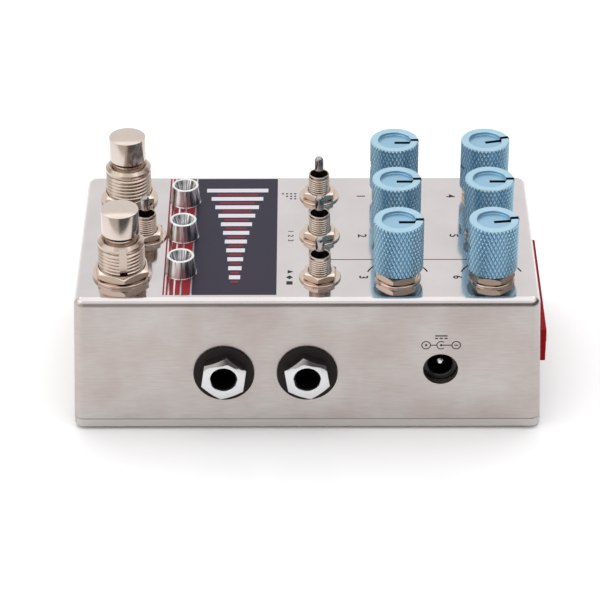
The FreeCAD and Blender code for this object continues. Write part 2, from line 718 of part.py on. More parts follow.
def control_board():
    """The board under the top plate. Pots, toggle switches and lamps stand on it."""
    return outline_board(mirrored(CONTROL_OUTLINE), CONTROL_TOP)


def main_board():
    """The board under the jacks, the power inlet and the slide switches."""
    return outline_board(mirrored(MAIN_OUTLINE), MAIN_TOP)


def board_components():
    """The chips and capacitors on the main board, and the header that joins the two boards."""
    gap = CONTROL_TOP - BOARD_THICK - MAIN_TOP
    parts = [block(0, HEADER_Y, (HEADER_SIZE[0], HEADER_SIZE[1], gap), MAIN_TOP)]
    parts += [block(x, CHIP_Y, CHIP_SIZE, MAIN_TOP) for x in CHIP_XS]
    parts.append(block(PROCESSOR_AT[0], PROCESSOR_AT[1], PROCESSOR_SIZE, MAIN_TOP))
    can = rod(CAN_R, MAIN_TOP, MAIN_TOP + CAN_HEIGHT)
    return parts + [placed(can, x, y) for x, y in CANS_AT]


def build_box():
    save("enclosure_shell", [enclosure_shell()])
    save("base_plate", [base_plate()])
    screw = base_screw()
    save("base_screws", [placed(screw, x, y) for x, y in corner_places(POST_X, POST_Y)])


def build_knobs_and_pots():
    knob_shape, shaft, housing = knob(), pot_shaft(), pot_housing()
    ring = placed(washer(POT_WASHER_R, POT_BUSH_R + HOLE_GAP, THIN_WASHER), 0, 0, HEIGHT)
    housings, nuts, rings = [], [], []
    for column, y in COLUMNS.items():
        top_nut = nut(POT_NUT_FLATS, POT_NUT_THICK, POT_BUSH_R + HOLE_GAP, POT_NUT_TURNS[column])
        for row, x in ROWS.items():
            turned_knob = knob_shape.copy()
            turned_knob.rotate(ORIGIN, UP, KNOB_TURNS.get((column, row), 0.0))
            save(f"knob_{column}_{row}", [placed(turned_knob, x, y)])
            save(f"pot_shaft_{column}_{row}", [placed(shaft, x, y)])
            housings.append(placed(housing, x, y))
            rings.append(placed(ring, x, y))
            nuts.append(placed(top_nut, x, y, HEIGHT + THIN_WASHER))
    save("pot_housings", housings)
    save("pot_washers", rings)
    save("pot_nuts", nuts)


def build_toggles():
    places = {name: (x, TOGGLE_COLUMN_Y) for name, x in ROWS.items()}
    places["front"] = (0.0, FRONT_TOGGLE_Y)
    lever = toggle_lever()
    for name, (x, y) in places.items():
        save(f"toggle_lever_{name}", [placed(lever, x, y)])
    ring = washer(TOGGLE_WASHER_R, TOGGLE_BUSH_R + HOLE_GAP, THIN_WASHER)
    top_nut = nut(TOGGLE_NUT_FLATS, TOGGLE_NUT_THICK, TOGGLE_BUSH_R + HOLE_GAP, TOGGLE_NUT_TURN)
    hardware = {
        "toggle_bushes": toggle_bush(),
        "toggle_cases": toggle_case(),
        "toggle_washers": placed(ring, 0, 0, HEIGHT),
        "toggle_nuts": placed(top_nut, 0, 0, HEIGHT + THIN_WASHER),
    }
    for name, shape in hardware.items():
        save(name, [placed(shape, x, y) for x, y in places.values()])


def build_footswitches():
    sides = {"left": -SWITCH_X, "right": SWITCH_X}
    plunger = footswitch_plunger()
    for name, x in sides.items():
        save(f"footswitch_plunger_{name}", [placed(plunger, x, SWITCH_Y)])
    bushes = [placed(footswitch_bush(name), x, SWITCH_Y) for name, x in sides.items()]
    save("footswitch_bushes", bushes)
    save("footswitch_cases", [placed(footswitch_case(), x, SWITCH_Y) for x in sides.values()])
    ring = washer(SWITCH_WASHER_R, BUSH_R + HOLE_GAP, SWITCH_WASHER_THICK)
    save("footswitch_washers", [placed(ring, x, SWITCH_Y, HEIGHT) for x in sides.values()])
    nuts = []
    for name, x in sides.items():
        top_nut = nut(SWITCH_NUT_FLATS, SWITCH_NUT_THICK, BUSH_R + HOLE_GAP, SWITCH_NUT_TURNS[name])
        nuts.append(placed(top_nut, x, SWITCH_Y, HEIGHT + SWITCH_WASHER_THICK))
    save("footswitch_nuts", nuts)


def build_lamps():
    places = [(x, LED_Y) for x in (-LED_X, 0.0, LED_X)]
    save("led_bezels", [placed(led_bezel(), x, y) for x, y in places])
    save("led_lamps", [placed(led_lamp(), x, y) for x, y in places])


def build_sockets():
    springs = [jack_contact(at, length) for at, length in SPRINGS_AT]
    housing, ring = jack_housing(), jack_washer()
    housings, rings, nuts, contacts = [], [], [], []
    for side, place in jack_places():
        housings.append(jack_frame(housing, side, place))
        rings.append(jack_frame(ring, side, place))
        nuts.append(jack_frame(jack_nut(side, place), side, place))
        contacts += [jack_frame(spring, side, place) for spring in springs]
    save("jack_housings", housings)
    save("jack_washers", rings)
    save("jack_nuts", nuts)
    save("jack_contacts", contacts)
    save("dc_socket_housing", [inlet_frame(inlet_socket())])
    save("dc_socket_pin", [inlet_frame(inlet_pin())])


def build_slide_switches():
    save("dip_housings", [bank_housing(bank) for bank in (-1, 1)])
    for number, x in enumerate(bank_xs(-1) + bank_xs(1), start=1):
        save(f"dip_slider_{number}", [slider(x)])


def build_boards():
    save("control_board", [control_board()])
    save("main_board", [main_board()])
    save("board_components", board_components())


os.makedirs("parts", exist_ok=True)
build_box()
build_knobs_and_pots()
build_toggles()
build_footswitches()
build_lamps()
build_sockets()
build_slide_switches()
build_boards()
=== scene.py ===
import json
import math

import bmesh
import bpy
from mathutils import Matrix, Vector


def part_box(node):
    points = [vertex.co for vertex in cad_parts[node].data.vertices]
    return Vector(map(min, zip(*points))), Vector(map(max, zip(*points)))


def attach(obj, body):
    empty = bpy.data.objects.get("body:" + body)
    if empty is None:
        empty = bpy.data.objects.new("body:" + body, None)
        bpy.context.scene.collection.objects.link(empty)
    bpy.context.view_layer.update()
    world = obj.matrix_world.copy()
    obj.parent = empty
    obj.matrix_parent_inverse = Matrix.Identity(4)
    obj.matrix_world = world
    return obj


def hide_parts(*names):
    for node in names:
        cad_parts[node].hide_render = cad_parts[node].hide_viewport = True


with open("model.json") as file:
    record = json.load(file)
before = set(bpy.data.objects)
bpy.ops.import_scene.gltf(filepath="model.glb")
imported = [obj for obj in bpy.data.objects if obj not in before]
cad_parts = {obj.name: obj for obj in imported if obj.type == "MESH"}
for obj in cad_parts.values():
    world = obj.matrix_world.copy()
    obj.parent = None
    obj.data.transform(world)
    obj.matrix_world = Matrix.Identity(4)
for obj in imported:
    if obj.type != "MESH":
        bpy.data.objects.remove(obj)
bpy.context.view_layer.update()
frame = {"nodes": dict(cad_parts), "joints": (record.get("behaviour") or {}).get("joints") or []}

bl_info = {
    "name": "Delay pedal",
    "version": (1, 0, 0),
    "blender": (4, 5, 0),
    "location": "3D View > Sidebar > Pedal",
    "description": "Models and finishes a delay pedal in a die-cast box, round its construction frame",
    "category": "Object",
}

MM = 0.001
QUARTER = math.pi / 2
ROOT = "pedal"
ROWS = ("left", "middle", "right")
COLUMNS = ("front", "rear")
# Sides of a plain round hole.
ROUND = 64
# Points nearer to each other than this are one point.
WELD = 0.002 * MM
# Edges sharper than this stay crisp.
SMOOTH_DEG = 32.0
# How far a cutter reaches past the face that it cuts.
THROUGH = 1.0 * MM
# The UV map of the lathe's rings, and the attribute for how far a point is out of the knurl's grooves
# (painted shade).
LATHE_MAP = "lathe"
CREST = "crest"
# The height of the top plate, and of the seam between box and cover.
PLATE_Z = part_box("enclosure_shell")[1].z
BASE_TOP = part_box("enclosure_shell")[0].z
# Radius of a lamp bezel below the plate, and of the hole for the power inlet's nose.
LAMP_STEM = 2.95 * MM
INLET_HOLE = 4.5 * MM
# Room round the slide switches in their slot, and how far a raised slider's top is above their middle.
SLOT_GAP = 0.2 * MM
SLIDER_TOP = 2.45 * MM


def linear(hex_colour):
    """The linear RGB of an sRGB hex colour such as B9B4B2."""
    parts = [int(hex_colour[i : i + 2], 16) / 255 for i in (0, 2, 4)]
    return tuple(p / 12.92 if p <= 0.04045 else ((p + 0.055) / 1.055) ** 2.4 for p in parts)


def length(millimetres, name, description):
    return bpy.props.FloatProperty(
        name=name, description=description, default=millimetres * MM, unit="LENGTH", precision=5
    )


def angle(degrees, name, description):
    return bpy.props.FloatProperty(
        name=name, description=description, default=math.radians(degrees), unit="ROTATION"
    )


def colour(hex_colour, name, description):
    return bpy.props.FloatVectorProperty(
        name=name, description=description, default=linear(hex_colour), subtype="COLOR", min=0, max=1
    )


class BoxSizes(bpy.types.PropertyGroup):
    draft: angle(2.0, "Draft", "Lean of the cast walls")
    wall: length(2.2, "Wall", "Thickness of the side walls")
    roof: length(2.3, "Roof", "Thickness of the top plate")
    corner: length(2.5, "Corner radius", "Radius of the four upright corners")
    top_edge: length(2.0, "Top edge radius", "Radius round the top plate")
    inner: length(1.2, "Inner radius", "Radius of the inside corners")
    seam: length(0.18, "Seam bevel", "Bevel each side of the seam between box and cover")
    post: length(3.2, "Post radius", "Radius of the four screw posts")
    post_hole: length(1.4, "Post hole", "Radius of the hole in a screw post")
    post_x: length(28.0, "Post place across", "Distance of the posts from the middle, across")
    post_y: length(55.5, "Post place along", "Distance of the posts from the middle, along")
    hole_gap: length(0.1, "Hole gap", "Room round a bush in its hole")


class KnobSizes(bpy.types.PropertyGroup):
    knurl_pitch: length(1.07, "Knurl pitch", "Width of one diamond of the knurl")
    knurl_rise: length(2.16, "Knurl rise", "Height of one diamond of the knurl")
    knurl_depth: length(0.34, "Knurl depth", "Height of the diamonds above their grooves")
    foot: length(0.3, "Foot bevel", "Bevel at the knob's lower edge")
    rim: length(0.3, "Rim bevel", "Bevel at the knob's upper edge")
    dish: length(4.3, "Dish radius", "Radius of the recess in the top")
    dish_depth: length(0.85, "Dish depth", "Depth of the recess in the top")
    bore: length(3.0, "Shaft hole", "Radius of the hole for the shaft")
    skin: length(3.2, "Skin", "Metal above the shaft hole")
    pointer: length(1.2, "Pointer width", "Width of the filled groove")
    pointer_depth: length(0.35, "Pointer depth", "Depth of the filled groove")
    grub: length(1.5, "Grub screw radius", "Radius of the side screw")
    grub_up: length(9.6, "Grub screw height", "Height of the side screw above the plate")


class HardwareSizes(bpy.types.PropertyGroup):
    edge: length(0.12, "Edge", "Rounding of small metal edges")
    coarse_pitch: length(1.0, "Coarse pitch", "Thread pitch of the footswitch bushes")
    coarse_depth: length(0.42, "Coarse depth", "Thread depth of the footswitch bushes")
    fine_pitch: length(0.635, "Fine pitch", "Thread pitch of the toggle bushes")
    fine_depth: length(0.27, "Fine depth", "Thread depth of the toggle bushes")
    pot_nut: length(10.2, "Control nut", "Across the flats of the nuts under the knobs")
    pot_bush: length(3.6, "Control nut bore", "Radius of the hole in the control nuts")
    toggle_nut: length(8.0, "Toggle nut", "Across the flats of the toggle switches' nuts")
    toggle_bush: length(2.8, "Toggle bush", "Radius of the toggle switches' bushes")
    toggle_bore: length(2.35, "Toggle bore", "Bore radius of the toggle switches' bushes")
    switch_nut: length(13.0, "Footswitch nut", "Across the flats of the footswitches' nuts")
    switch_bush: length(6.0, "Footswitch bush", "Radius of the footswitches' bushes")
    switch_bore: length(4.25, "Footswitch bore", "Bore radius of the footswitches' bushes")
    jack_nut: length(10.8, "Jack nut", "Across the flats of the jacks' nuts")
    jack_bore: length(3.4, "Jack nut hole", "Radius of the hole through the front of a jack's nut")
    jack_nose: length(4.8, "Jack nut well", "Radius of the well behind a jack nut's front")
    pot_turn_front: angle(-13.6, "Front control nut turn", "Turn of the nuts under the front knobs")
    pot_turn_rear: angle(19.0, "Rear control nut turn", "Turn of the nuts under the rear knobs")
    toggle_turn: angle(-6.0, "Toggle nut turn", "Turn of the toggle switches' nuts")


class PrintSizes(bpy.types.PropertyGroup):
    thick: length(0.03, "Ink thickness", "How far the print stands above the metal")
    line: length(0.28, "Line width", "Width of the thin lines")
    arc_line: length(0.42, "Arc width", "Width of the scale arcs round the knobs")
    panel_left: length(-29.4, "Panel front edge", "Where the dark panel starts, along the pedal")
    panel_right: length(-7.8, "Panel rear edge", "Where the dark panel ends, along the pedal")
    panel_low: length(-29.8, "Panel left end", "Where the dark panel starts, across the pedal")
    panel_high: length(28.9, "Panel right end", "Where the dark panel ends, across the pedal")
    digit: length(3.2, "Digit height", "Height of the numerals")
    digit_off: length(8.9, "Digit place", "Distance of a numeral from its knob's middle")
    arc: length(8.1, "Arc radius", "Radius of the scale arcs round the knobs")
    stripe_gap: length(0.42, "Stripe gap", "Bare metal between two stripes")
    divider: length(11.87, "Divider", "Place of the dividing line, across the pedal")
    sign_up: length(7.2, "Sign height", "Height of the polarity sign above the inlet's pin")
    sign_step: length(3.85, "Sign step", "Distance between the circles of the polarity sign")
    sign_circle: length(1.1, "Sign circle", "Radius of the circles of the polarity sign")


class Finishes(bpy.types.PropertyGroup):
    wall: colour("C9C5C2", "Cast aluminium", "Ground walls of the box")
    wall_warm: colour("BBAEAA", "Stained aluminium", "Clouded patches on the ground walls")
    plate: colour("DCD6D6", "Polished aluminium", "Top plate and its rounded edge")
    nickel: colour("D8C7B9", "Nickel", "Bushes, nuts and washers")
    cap: colour("D6C9C0", "Brushed nickel", "Footswitch caps")
    chrome: colour("D8D8DA", "Chrome", "Levers, bezels and jack nuts")
    anodised: colour("B0D3E4", "Blue anodising", "Knobs")
    # Painted shade: the grooves of the knobs' knurl are painted this deeper blue.
    groove: colour("6FA4C8", "Deep blue anodising", "Grooves of the knobs' knurl")
    crimson: colour("841A28", "Crimson ink", "Stripes and accents")
    dark: colour("292535", "Dark ink", "Panel")
    pale: colour("C9C6CE", "Pale ink", "Marks on the panel")
    black: colour("2A2424", "Black ink", "Numerals and lines")
    red: colour("920210", "Red plastic", "Slide switch blocks")


class Studio(bpy.types.PropertyGroup):
    lens: bpy.props.FloatProperty(
        name="Lens", description="Focal length on a 36 mm sensor", default=170.38, unit="CAMERA"
    )
    place: bpy.props.FloatVectorProperty(
        name="Camera place", description="Where the camera stands", default=(0.63776, -0.00076, 0.42488),
        subtype="TRANSLATION", unit="LENGTH", precision=5,
    )
    turn: bpy.props.FloatVectorProperty(
        name="Camera turn", description="How the camera is turned", subtype="EULER", unit="ROTATION",
        default=[math.radians(degrees) for degrees in (57.4633, 0.1216, 90.0208)],
    )
    key: bpy.props.FloatProperty(
        name="Key power", description="Power of the soft lamp overhead", default=4.4, unit="POWER"
    )


SETTINGS = {
    "pedal_box": BoxSizes,
    "pedal_knobs": KnobSizes,
    "pedal_hardware": HardwareSizes,
    "pedal_print": PrintSizes,
    "pedal_finishes": Finishes,
    "pedal_studio": Studio,
}


def settings(name):
    return getattr(bpy.context.scene, "pedal_" + name)


def deselect():
    """Leaves edit mode and selects nothing."""
    if bpy.context.object and bpy.context.object.mode != "OBJECT":
        bpy.ops.object.mode_set(mode="OBJECT")
    bpy.ops.object.select_all(action="DESELECT")


def take(piece):
    """Makes a piece the only selected and the active one."""
    deselect()
    piece.select_set(True)
    bpy.context.view_layer.objects.active = piece


def newest(name):
    """Names the primitive just added and puts its place into its mesh."""
    piece = bpy.context.object
    piece.name = name
    piece.data.name = name
    bpy.ops.object.transform_apply(location=True, rotation=True, scale=True)
    return piece


def discard(*pieces):
    for piece in pieces:
        bpy.data.meshes.remove(piece.data)


def block(name, low, high):
    """A cube primitive stretched between two corners."""
    deselect()
    low, high = Vector(low), Vector(high)
    bpy.ops.mesh.primitive_cube_add(size=1, location=(low + high) / 2, scale=high - low)
    return newest(name)


def cylinder(name, radius, low, high, at=(0, 0), sides=ROUND):
    deselect()
    place = (at[0], at[1], (low + high) / 2)
    bpy.ops.mesh.primitive_cylinder_add(vertices=sides, radius=radius, depth=high - low, location=place)
    return newest(name)


def pick(piece, kind, test):
    """Selects, in edit mode, the vertices, edges or faces of a piece that pass a test."""
    if piece.mode != "EDIT":
        take(piece)
        bpy.ops.object.mode_set(mode="EDIT")
    bpy.ops.mesh.select_mode(type=kind)
    bpy.ops.mesh.select_all(action="DESELECT")
    mesh = bmesh.from_edit_mesh(piece.data)
    for element in {"VERT": mesh.verts, "EDGE": mesh.edges, "FACE": mesh.faces}[kind]:
        if test(element):
            element.select_set(True)
    bmesh.update_edit_mesh(piece.data)


def done(piece):
    bpy.ops.object.mode_set(mode="OBJECT")
    return piece


def faced_out(piece):
    """Turns the faces of the piece in edit mode outwards."""
    bpy.ops.mesh.select_all(action="SELECT")
    bpy.ops.mesh.normals_make_consistent(inside=False)
    return done(piece)


def climbs(edge):
    """True for an edge that goes mostly upwards."""
    step = edge.verts[1].co - edge.verts[0].co
    return abs(step.z) > 0.9 * step.length


def level_at(height):
    """A test for edges that lie at one height."""
    return lambda edge: all(abs(v.co.z - height) < WELD for v in edge.verts)


def upward(face):
    return face.normal.z > 0.5


def rounded_by(piece, test, width, segments):
    """Rounds the edges of a piece that pass a test."""
    pick(piece, "EDGE", test)
    bpy.ops.mesh.bevel(offset=width, segments=segments, affect="EDGES", clamp_overlap=False)
    return done(piece)


def turned(name, outline, sides=ROUND):
    """A piece turned about the Z axis: a circle is extruded and scaled from point to point of a
    (radius, height) outline. An outline that ends where it began makes a ring, any other is capped."""
    ring = outline[0] == outline[-1]
    radius, height = outline[0]
    deselect()
    bpy.ops.mesh.primitive_circle_add(
        vertices=sides, radius=radius, fill_type="NOTHING" if ring else "NGON", location=(0, 0, height)
    )
    piece = newest(name)
    bpy.ops.object.mode_set(mode="EDIT")
    bpy.ops.mesh.select_mode(type="EDGE" if ring else "FACE")
    bpy.ops.mesh.select_all(action="SELECT")
    for next_radius, next_height in outline[1:]:
        rise = next_height - height
        bpy.ops.mesh.extrude_region_move(TRANSFORM_OT_translate={"value": (0, 0, rise)})
        if next_radius != radius:
            ratio = next_radius / radius
            bpy.ops.transform.resize(value=(ratio, ratio, 1), center_override=(0, 0, next_height))
        radius, height = next_radius, next_height
    bpy.ops.mesh.select_all(action="SELECT")
    bpy.ops.mesh.remove_doubles(threshold=WELD)
    return faced_out(piece)


def lathe_mapped(piece):
    """Adds a UV map to a piece turned about Z: u runs across the lathe's rings and v once round them."""
    layer = piece.data.uv_layers.new(name=LATHE_MAP)
    for face in piece.data.polygons:
        middle = math.atan2(face.center.y, face.center.x)
        for corner in face.loop_indices:
            spot = piece.data.vertices[piece.data.loops[corner].vertex_index].co
            turn = middle + math.remainder(math.atan2(spot.y, spot.x) - middle, 2 * math.pi)
            layer.data[corner].uv = ((spot.z + spot.xy.length / 3) / MM, turn / (2 * math.pi))
    return piece


def thread(crest, depth, pitch, low, high):
    """The outline of a thread as rings, from low to high. Each ring rises from the root to a narrow crest
    and falls back to the root, at these shares of the pitch."""
    shares = ((0.08, depth), (0.42, 0), (0.58, 0), (0.92, depth))
    starts = [low + i * pitch for i in range(int((high - low) / pitch))]
    return [(crest - fall, start + share * pitch) for start in starts for share, fall in shares]


def dome(radius, top, steps=8, least=0.06):
    """Outline points of a half ball, up to a small flat at its top, whose radius is the least share of the
    ball's. The flat is 0.998 of a radius above the ball's centre."""
    centre = top - radius * 0.998
    angles = [math.acos(least) * i / steps for i in range(1, steps + 1)]
    return [(radius * math.cos(a), centre + radius * math.sin(a)) for a in angles]


def combine(piece, tool, operation="DIFFERENCE"):
    """Cuts, joins or crosses a piece with a tool, which is then removed."""
    take(piece)
    change = piece.modifiers.new(operation.lower(), "BOOLEAN")
    change.operation = operation
    change.object = tool
    change.solver = "EXACT"
    change.material_mode = "TRANSFER"
    bpy.ops.object.modifier_apply(modifier=change.name)
    discard(tool)
    return piece


def joined(name, parts):
    """One piece made of several."""
    deselect()
    for part in parts:
        part.select_set(True)
    bpy.context.view_layer.objects.active = parts[0]
    if len(parts) > 1:
        bpy.ops.object.join()
    whole = bpy.context.object
    whole.name = name
    whole.data.name = name
    return whole


def placed(spot, turn, axis):
    """A matrix that turns a piece about an axis and then moves it to a spot."""
    return Matrix.Translation(spot) @ Matrix.Rotation(turn, 4, axis)


def moved(piece, place):
    piece.data.transform(place)
    return piece


def copied(piece, name, place):
    """A copy of a piece with its own mesh, moved by a matrix or to an (x, y) place."""
    copy = piece.copy()
    copy.data = piece.data.copy()
    copy.name = name
    copy.data.name = name
    bpy.context.scene.collection.objects.link(copy)
    return moved(copy, place if isinstance(place, Matrix) else Matrix.Translation((*place, 0)))


def set_out(pattern, name, places):
    """Copies of a pattern at several places, joined as one piece. The pattern is removed."""
    whole = joined(name, [copied(pattern, f"{name}_{i}", place) for i, place in enumerate(places)])
    discard(pattern)
    return whole


def bevelled(piece, width, segments=2, limit_deg=40.0):
    """Rounds every edge of a piece that is sharper than a limit."""
    take(piece)
    change = piece.modifiers.new("edges", "BEVEL")
    change.width = width
    change.segments = segments
    change.limit_method = "ANGLE"
    change.angle_limit = math.radians(limit_deg)
    bpy.ops.object.modifier_apply(modifier=change.name)


def smooth(piece, flat_faces=False, limit_deg=SMOOTH_DEG):
    """Smooth shading up to an angle. With flat_faces the large flats keep their own direction."""
    take(piece)
    bpy.ops.object.shade_smooth_by_angle(angle=math.radians(limit_deg))
    if flat_faces:
        change = piece.modifiers.new("flats", "WEIGHTED_NORMAL")
        change.weight = 100
        change.keep_sharp = True
        bpy.ops.object.modifier_apply(modifier=change.name)
    return piece


def dress(piece, finish, body, slot, *nodes):
    """Gives a finished piece its material, its body and the CAD nodes that it stands for. The slot is not
    used.
    """
    piece.data.materials.clear()
    piece.data.materials.append(MATERIALS[finish])
    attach(piece, body)
    if nodes:
        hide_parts(*nodes)
    return piece


def fixed(name, parts, finish, slot, node_name):
    """Parts on the box, joined as one smooth piece that stands for a node."""
    return dress(smooth(joined(name, parts)), finish, ROOT, slot, node_name)


def fixed_set(pattern, name, places, finish, slot, node_name):
    """Copies of a pattern on the box, as one smooth piece that stands for a node."""
    return fixed(name, [set_out(pattern, name, places)], finish, slot, node_name)


def moving_set(pattern, prefix, body_prefix, places, finish, slot):
    """A copy of a pattern for each named place, which stands for the moving node there."""
    for name, at in places.items():
        body = body_prefix + name
        dress(copied(pattern, prefix + name, at), finish, body, slot, body)
    discard(pattern)


def lined(piece, finish, places, bore):
    """Gives the faces inside the bores of a dressed piece a second material."""
    piece.data.materials.append(MATERIALS[finish])
    for face in piece.data.polygons:
        spot = Vector(face.center).xy
        if min((spot - at).length for at in places) < bore:
            face.material_index = 1


def centre_of(node_name):
    low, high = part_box(node_name)
    return (low + high) / 2


def knob_places():
    return {(c, r): centre_of(f"pot_shaft_{c}_{r}").xy for c in COLUMNS for r in ROWS}


def toggle_places():
    return {name: centre_of(f"toggle_lever_{name}").xy for name in (*ROWS, "front")}


def switch_places():
    return {side: centre_of(f"footswitch_plunger_{side}").xy for side in ("left", "right")}


def lamp_places():
    low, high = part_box("led_lamps")
    reach = (high.x - low.x - (high.y - low.y)) / 2
    return [Vector((x, (low.y + high.y) / 2)) for x in (-reach, 0, reach)]


def jack_places():
    """A matrix for each jack, which puts +Z square to the drafted wall with its outer face at zero."""
    draft = settings("box").draft
    low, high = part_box("jack_washers")
    radius = (high.z - low.z) / 2 / math.cos(draft)
    centre = (low.z + high.z) / 2
    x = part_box("base_plate")[1].x - (centre - BASE_TOP) * math.tan(draft)
    lean = Matrix.Rotation(QUARTER - draft, 4, "Y")
    return [
        placed((side * x, y, centre), 0 if side > 0 else math.pi, "Z") @ lean
        for side in (1, -1)
        for y in (low.y + radius, high.y - radius)
    ]


def inlet_place(x):
    """A matrix that lays a piece drawn along +Z on the inlet's line, out towards +X from a place."""
    pin = centre_of("dc_socket_pin")
    return placed((x, pin.y, pin.z), QUARTER, "Y")


def feed(socket, value):
    """Gives a socket a link, a number, a vector, or a colour of three parts."""
    if isinstance(value, bpy.types.NodeSocket):
        socket.id_data.links.new(value, socket)
    else:
        socket.default_value = (*value, 1.0) if socket.type == "RGBA" else value


def node(tree, kind, inputs=None, out=0, **values):
    """Adds one shader node and gives one of its outputs, or all for None. Inputs are by name or number:
    a MapRange goes from 1 and 2 to 3 and 4, and a Mix has its numbers in 2 and 3, its vectors in 4 and 5
    and its colours in 6 and 7."""
    made = tree.nodes.new("ShaderNode" + kind)
    for name, value in values.items():
        setattr(made, name, value)
    for key, value in (inputs or {}).items():
        feed(made.inputs[key], value)
    return made.outputs if out is None else made.outputs[out]


def finished(shader, **sockets):
    """Feeds the shader's sockets, which are named with _ for a space."""
    for name, value in sockets.items():
        feed(shader.inputs[name.replace("_", " ")], value)


def begin(name, **sockets):
    """A new material with its shader, and where each point of the piece is, in metres."""
    material = bpy.data.materials.new(name)
    material.use_nodes = True
    tree = material.node_tree
    shader = tree.nodes["Principled BSDF"]
    finished(shader, **sockets)
    return material, tree, shader, node(tree, "TexCoord", out="Object")


def per_mm(size):
    """The texture scale whose features are about that many millimetres."""
    return 1 / (size * MM)


def shade(colour_value, amount):
    return tuple(min(1.0, part * amount) for part in colour_value)


def clouded(name, grain_mm, detail, colours, roughs, bump=0.0, **sockets):
    """A material whose colour, roughness and relief follow one grain of a size in millimetres."""
    material, tree, shader, where = begin(name, **sockets)
    grain = node(tree, "TexNoise", {"Vector": where, "Scale": per_mm(grain_mm), "Detail": detail})
    tint = node(tree, "Mix", {0: grain, 6: colours[0], 7: colours[1]}, 2, data_type="RGBA")
    finished(shader, Base_Color=tint)
    if roughs:
        finished(shader, Roughness=node(tree, "MapRange", {0: grain, 3: roughs[0], 4: roughs[1]}))
    if bump:
        relief = {"Strength": bump, "Distance": 0.02 * MM, "Height": grain}
        finished(shader, Normal=node(tree, "Bump", relief))
    return material


def bright_metal(name, base, rough_low, rough_high, smudge_mm):
    """A plated or turned metal with faint smudges that blur it in patches."""
    colours = shade(base, 0.95), shade(base, 1.04)
    return clouded(name, smudge_mm, 4.0, colours, (rough_low, rough_high), Metallic=1.0)


def moulded(name, base, rough_low, rough_high, grain_mm, strength=0.1, shine=0.5):
    """A moulded, pressed or printed non-metal: slight grain in colour, gloss and surface."""
    colours, roughs = (shade(base, 0.9), shade(base, 1.1)), (rough_low, rough_high)
    return clouded(name, grain_mm, 4.0, colours, roughs, strength, IOR=1.5, Specular_IOR_Level=shine)


def cast_aluminium():
    """Die-cast aluminium: walls ground along their length, so streaks and a soft mottle show, and a top
    plate and edge polished until they mirror what stands on them."""
    finish = settings("finishes")
    material, tree, shader, where = begin("ground_die_cast_aluminium", Metallic=1.0)
    x, y, z = node(tree, "SeparateXYZ", {0: where}, None)
    along = node(tree, "Math", {0: x, 1: y}, operation="ADD")
    on_wall = node(tree, "CombineXYZ", {0: along, 2: z})
    wall_grain = node(tree, "Mapping", {0: on_wall, "Scale": (0.1, 1, 1)})
    plate_grain = node(tree, "Mapping", {0: where, "Scale": (1, 0.04, 1)})
    polished = node(tree, "MapRange", {0: z, 1: PLATE_Z - 1.6 * MM, 2: PLATE_Z - 0.8 * MM})
    grain = node(tree, "Mix", {0: polished, 4: wall_grain, 5: plate_grain}, 1, data_type="VECTOR")
    streaks = node(tree, "TexNoise", {"Vector": grain, "Scale": per_mm(0.5), "Detail": 6.0})
    mottle = node(tree, "TexNoise", {"Vector": where, "Scale": per_mm(14.0), "Detail": 3.0})
    clouds = node(tree, "MapRange", {0: mottle, 1: 0.3, 2: 0.7})
    fine = node(tree, "MapRange", {0: streaks, 3: 0.82, 4: 1.18})
    wall = node(tree, "Mix", {0: clouds, 6: finish.wall_warm, 7: finish.wall}, 2, data_type="RGBA")
    wall = node(tree, "Mix", {0: 1.0, 6: wall, 7: fine}, 2, data_type="RGBA", blend_type="MULTIPLY")
    plates = {6: shade(finish.plate, 0.95), 7: shade(finish.plate, 1.04)}
    plate = node(tree, "Mix", {0: clouds, **plates}, 2, data_type="RGBA")
    tint = node(tree, "Mix", {0: polished, 6: wall, 7: plate}, 2, data_type="RGBA")
    wall_rough = node(tree, "MapRange", {0: streaks, 3: 0.24, 4: 0.46})
    plate_rough = node(tree, "MapRange", {0: streaks, 3: 0.05, 4: 0.15})
    rough = node(tree, "Mix", {0: polished, 2: wall_rough, 3: plate_rough})
    bump = node(tree, "Bump", {"Strength": 0.08, "Distance": 0.02 * MM, "Height": streaks})
    finished(shader, Base_Color=tint, Roughness=rough, Normal=bump)
    return material


def ground_cover():
    """The cast cover: the same ground aluminium as the walls, without polish."""
    base = settings("finishes").wall
    material, tree, shader, where = begin("ground_aluminium_cover", Metallic=1.0)
    grain = node(tree, "Mapping", {0: where, "Scale": (0.05, 0.05, 1)})
    streaks = node(tree, "TexNoise", {"Vector": grain, "Scale": per_mm(0.5), "Detail": 6.0})
    tint = node(tree, "Mix", {0: streaks, 6: shade(base, 0.85), 7: shade(base, 1.05)}, 2, data_type="RGBA")
    rough = node(tree, "MapRange", {0: streaks, 3: 0.25, 4: 0.45})
    finished(shader, Base_Color=tint, Roughness=rough)
    return material


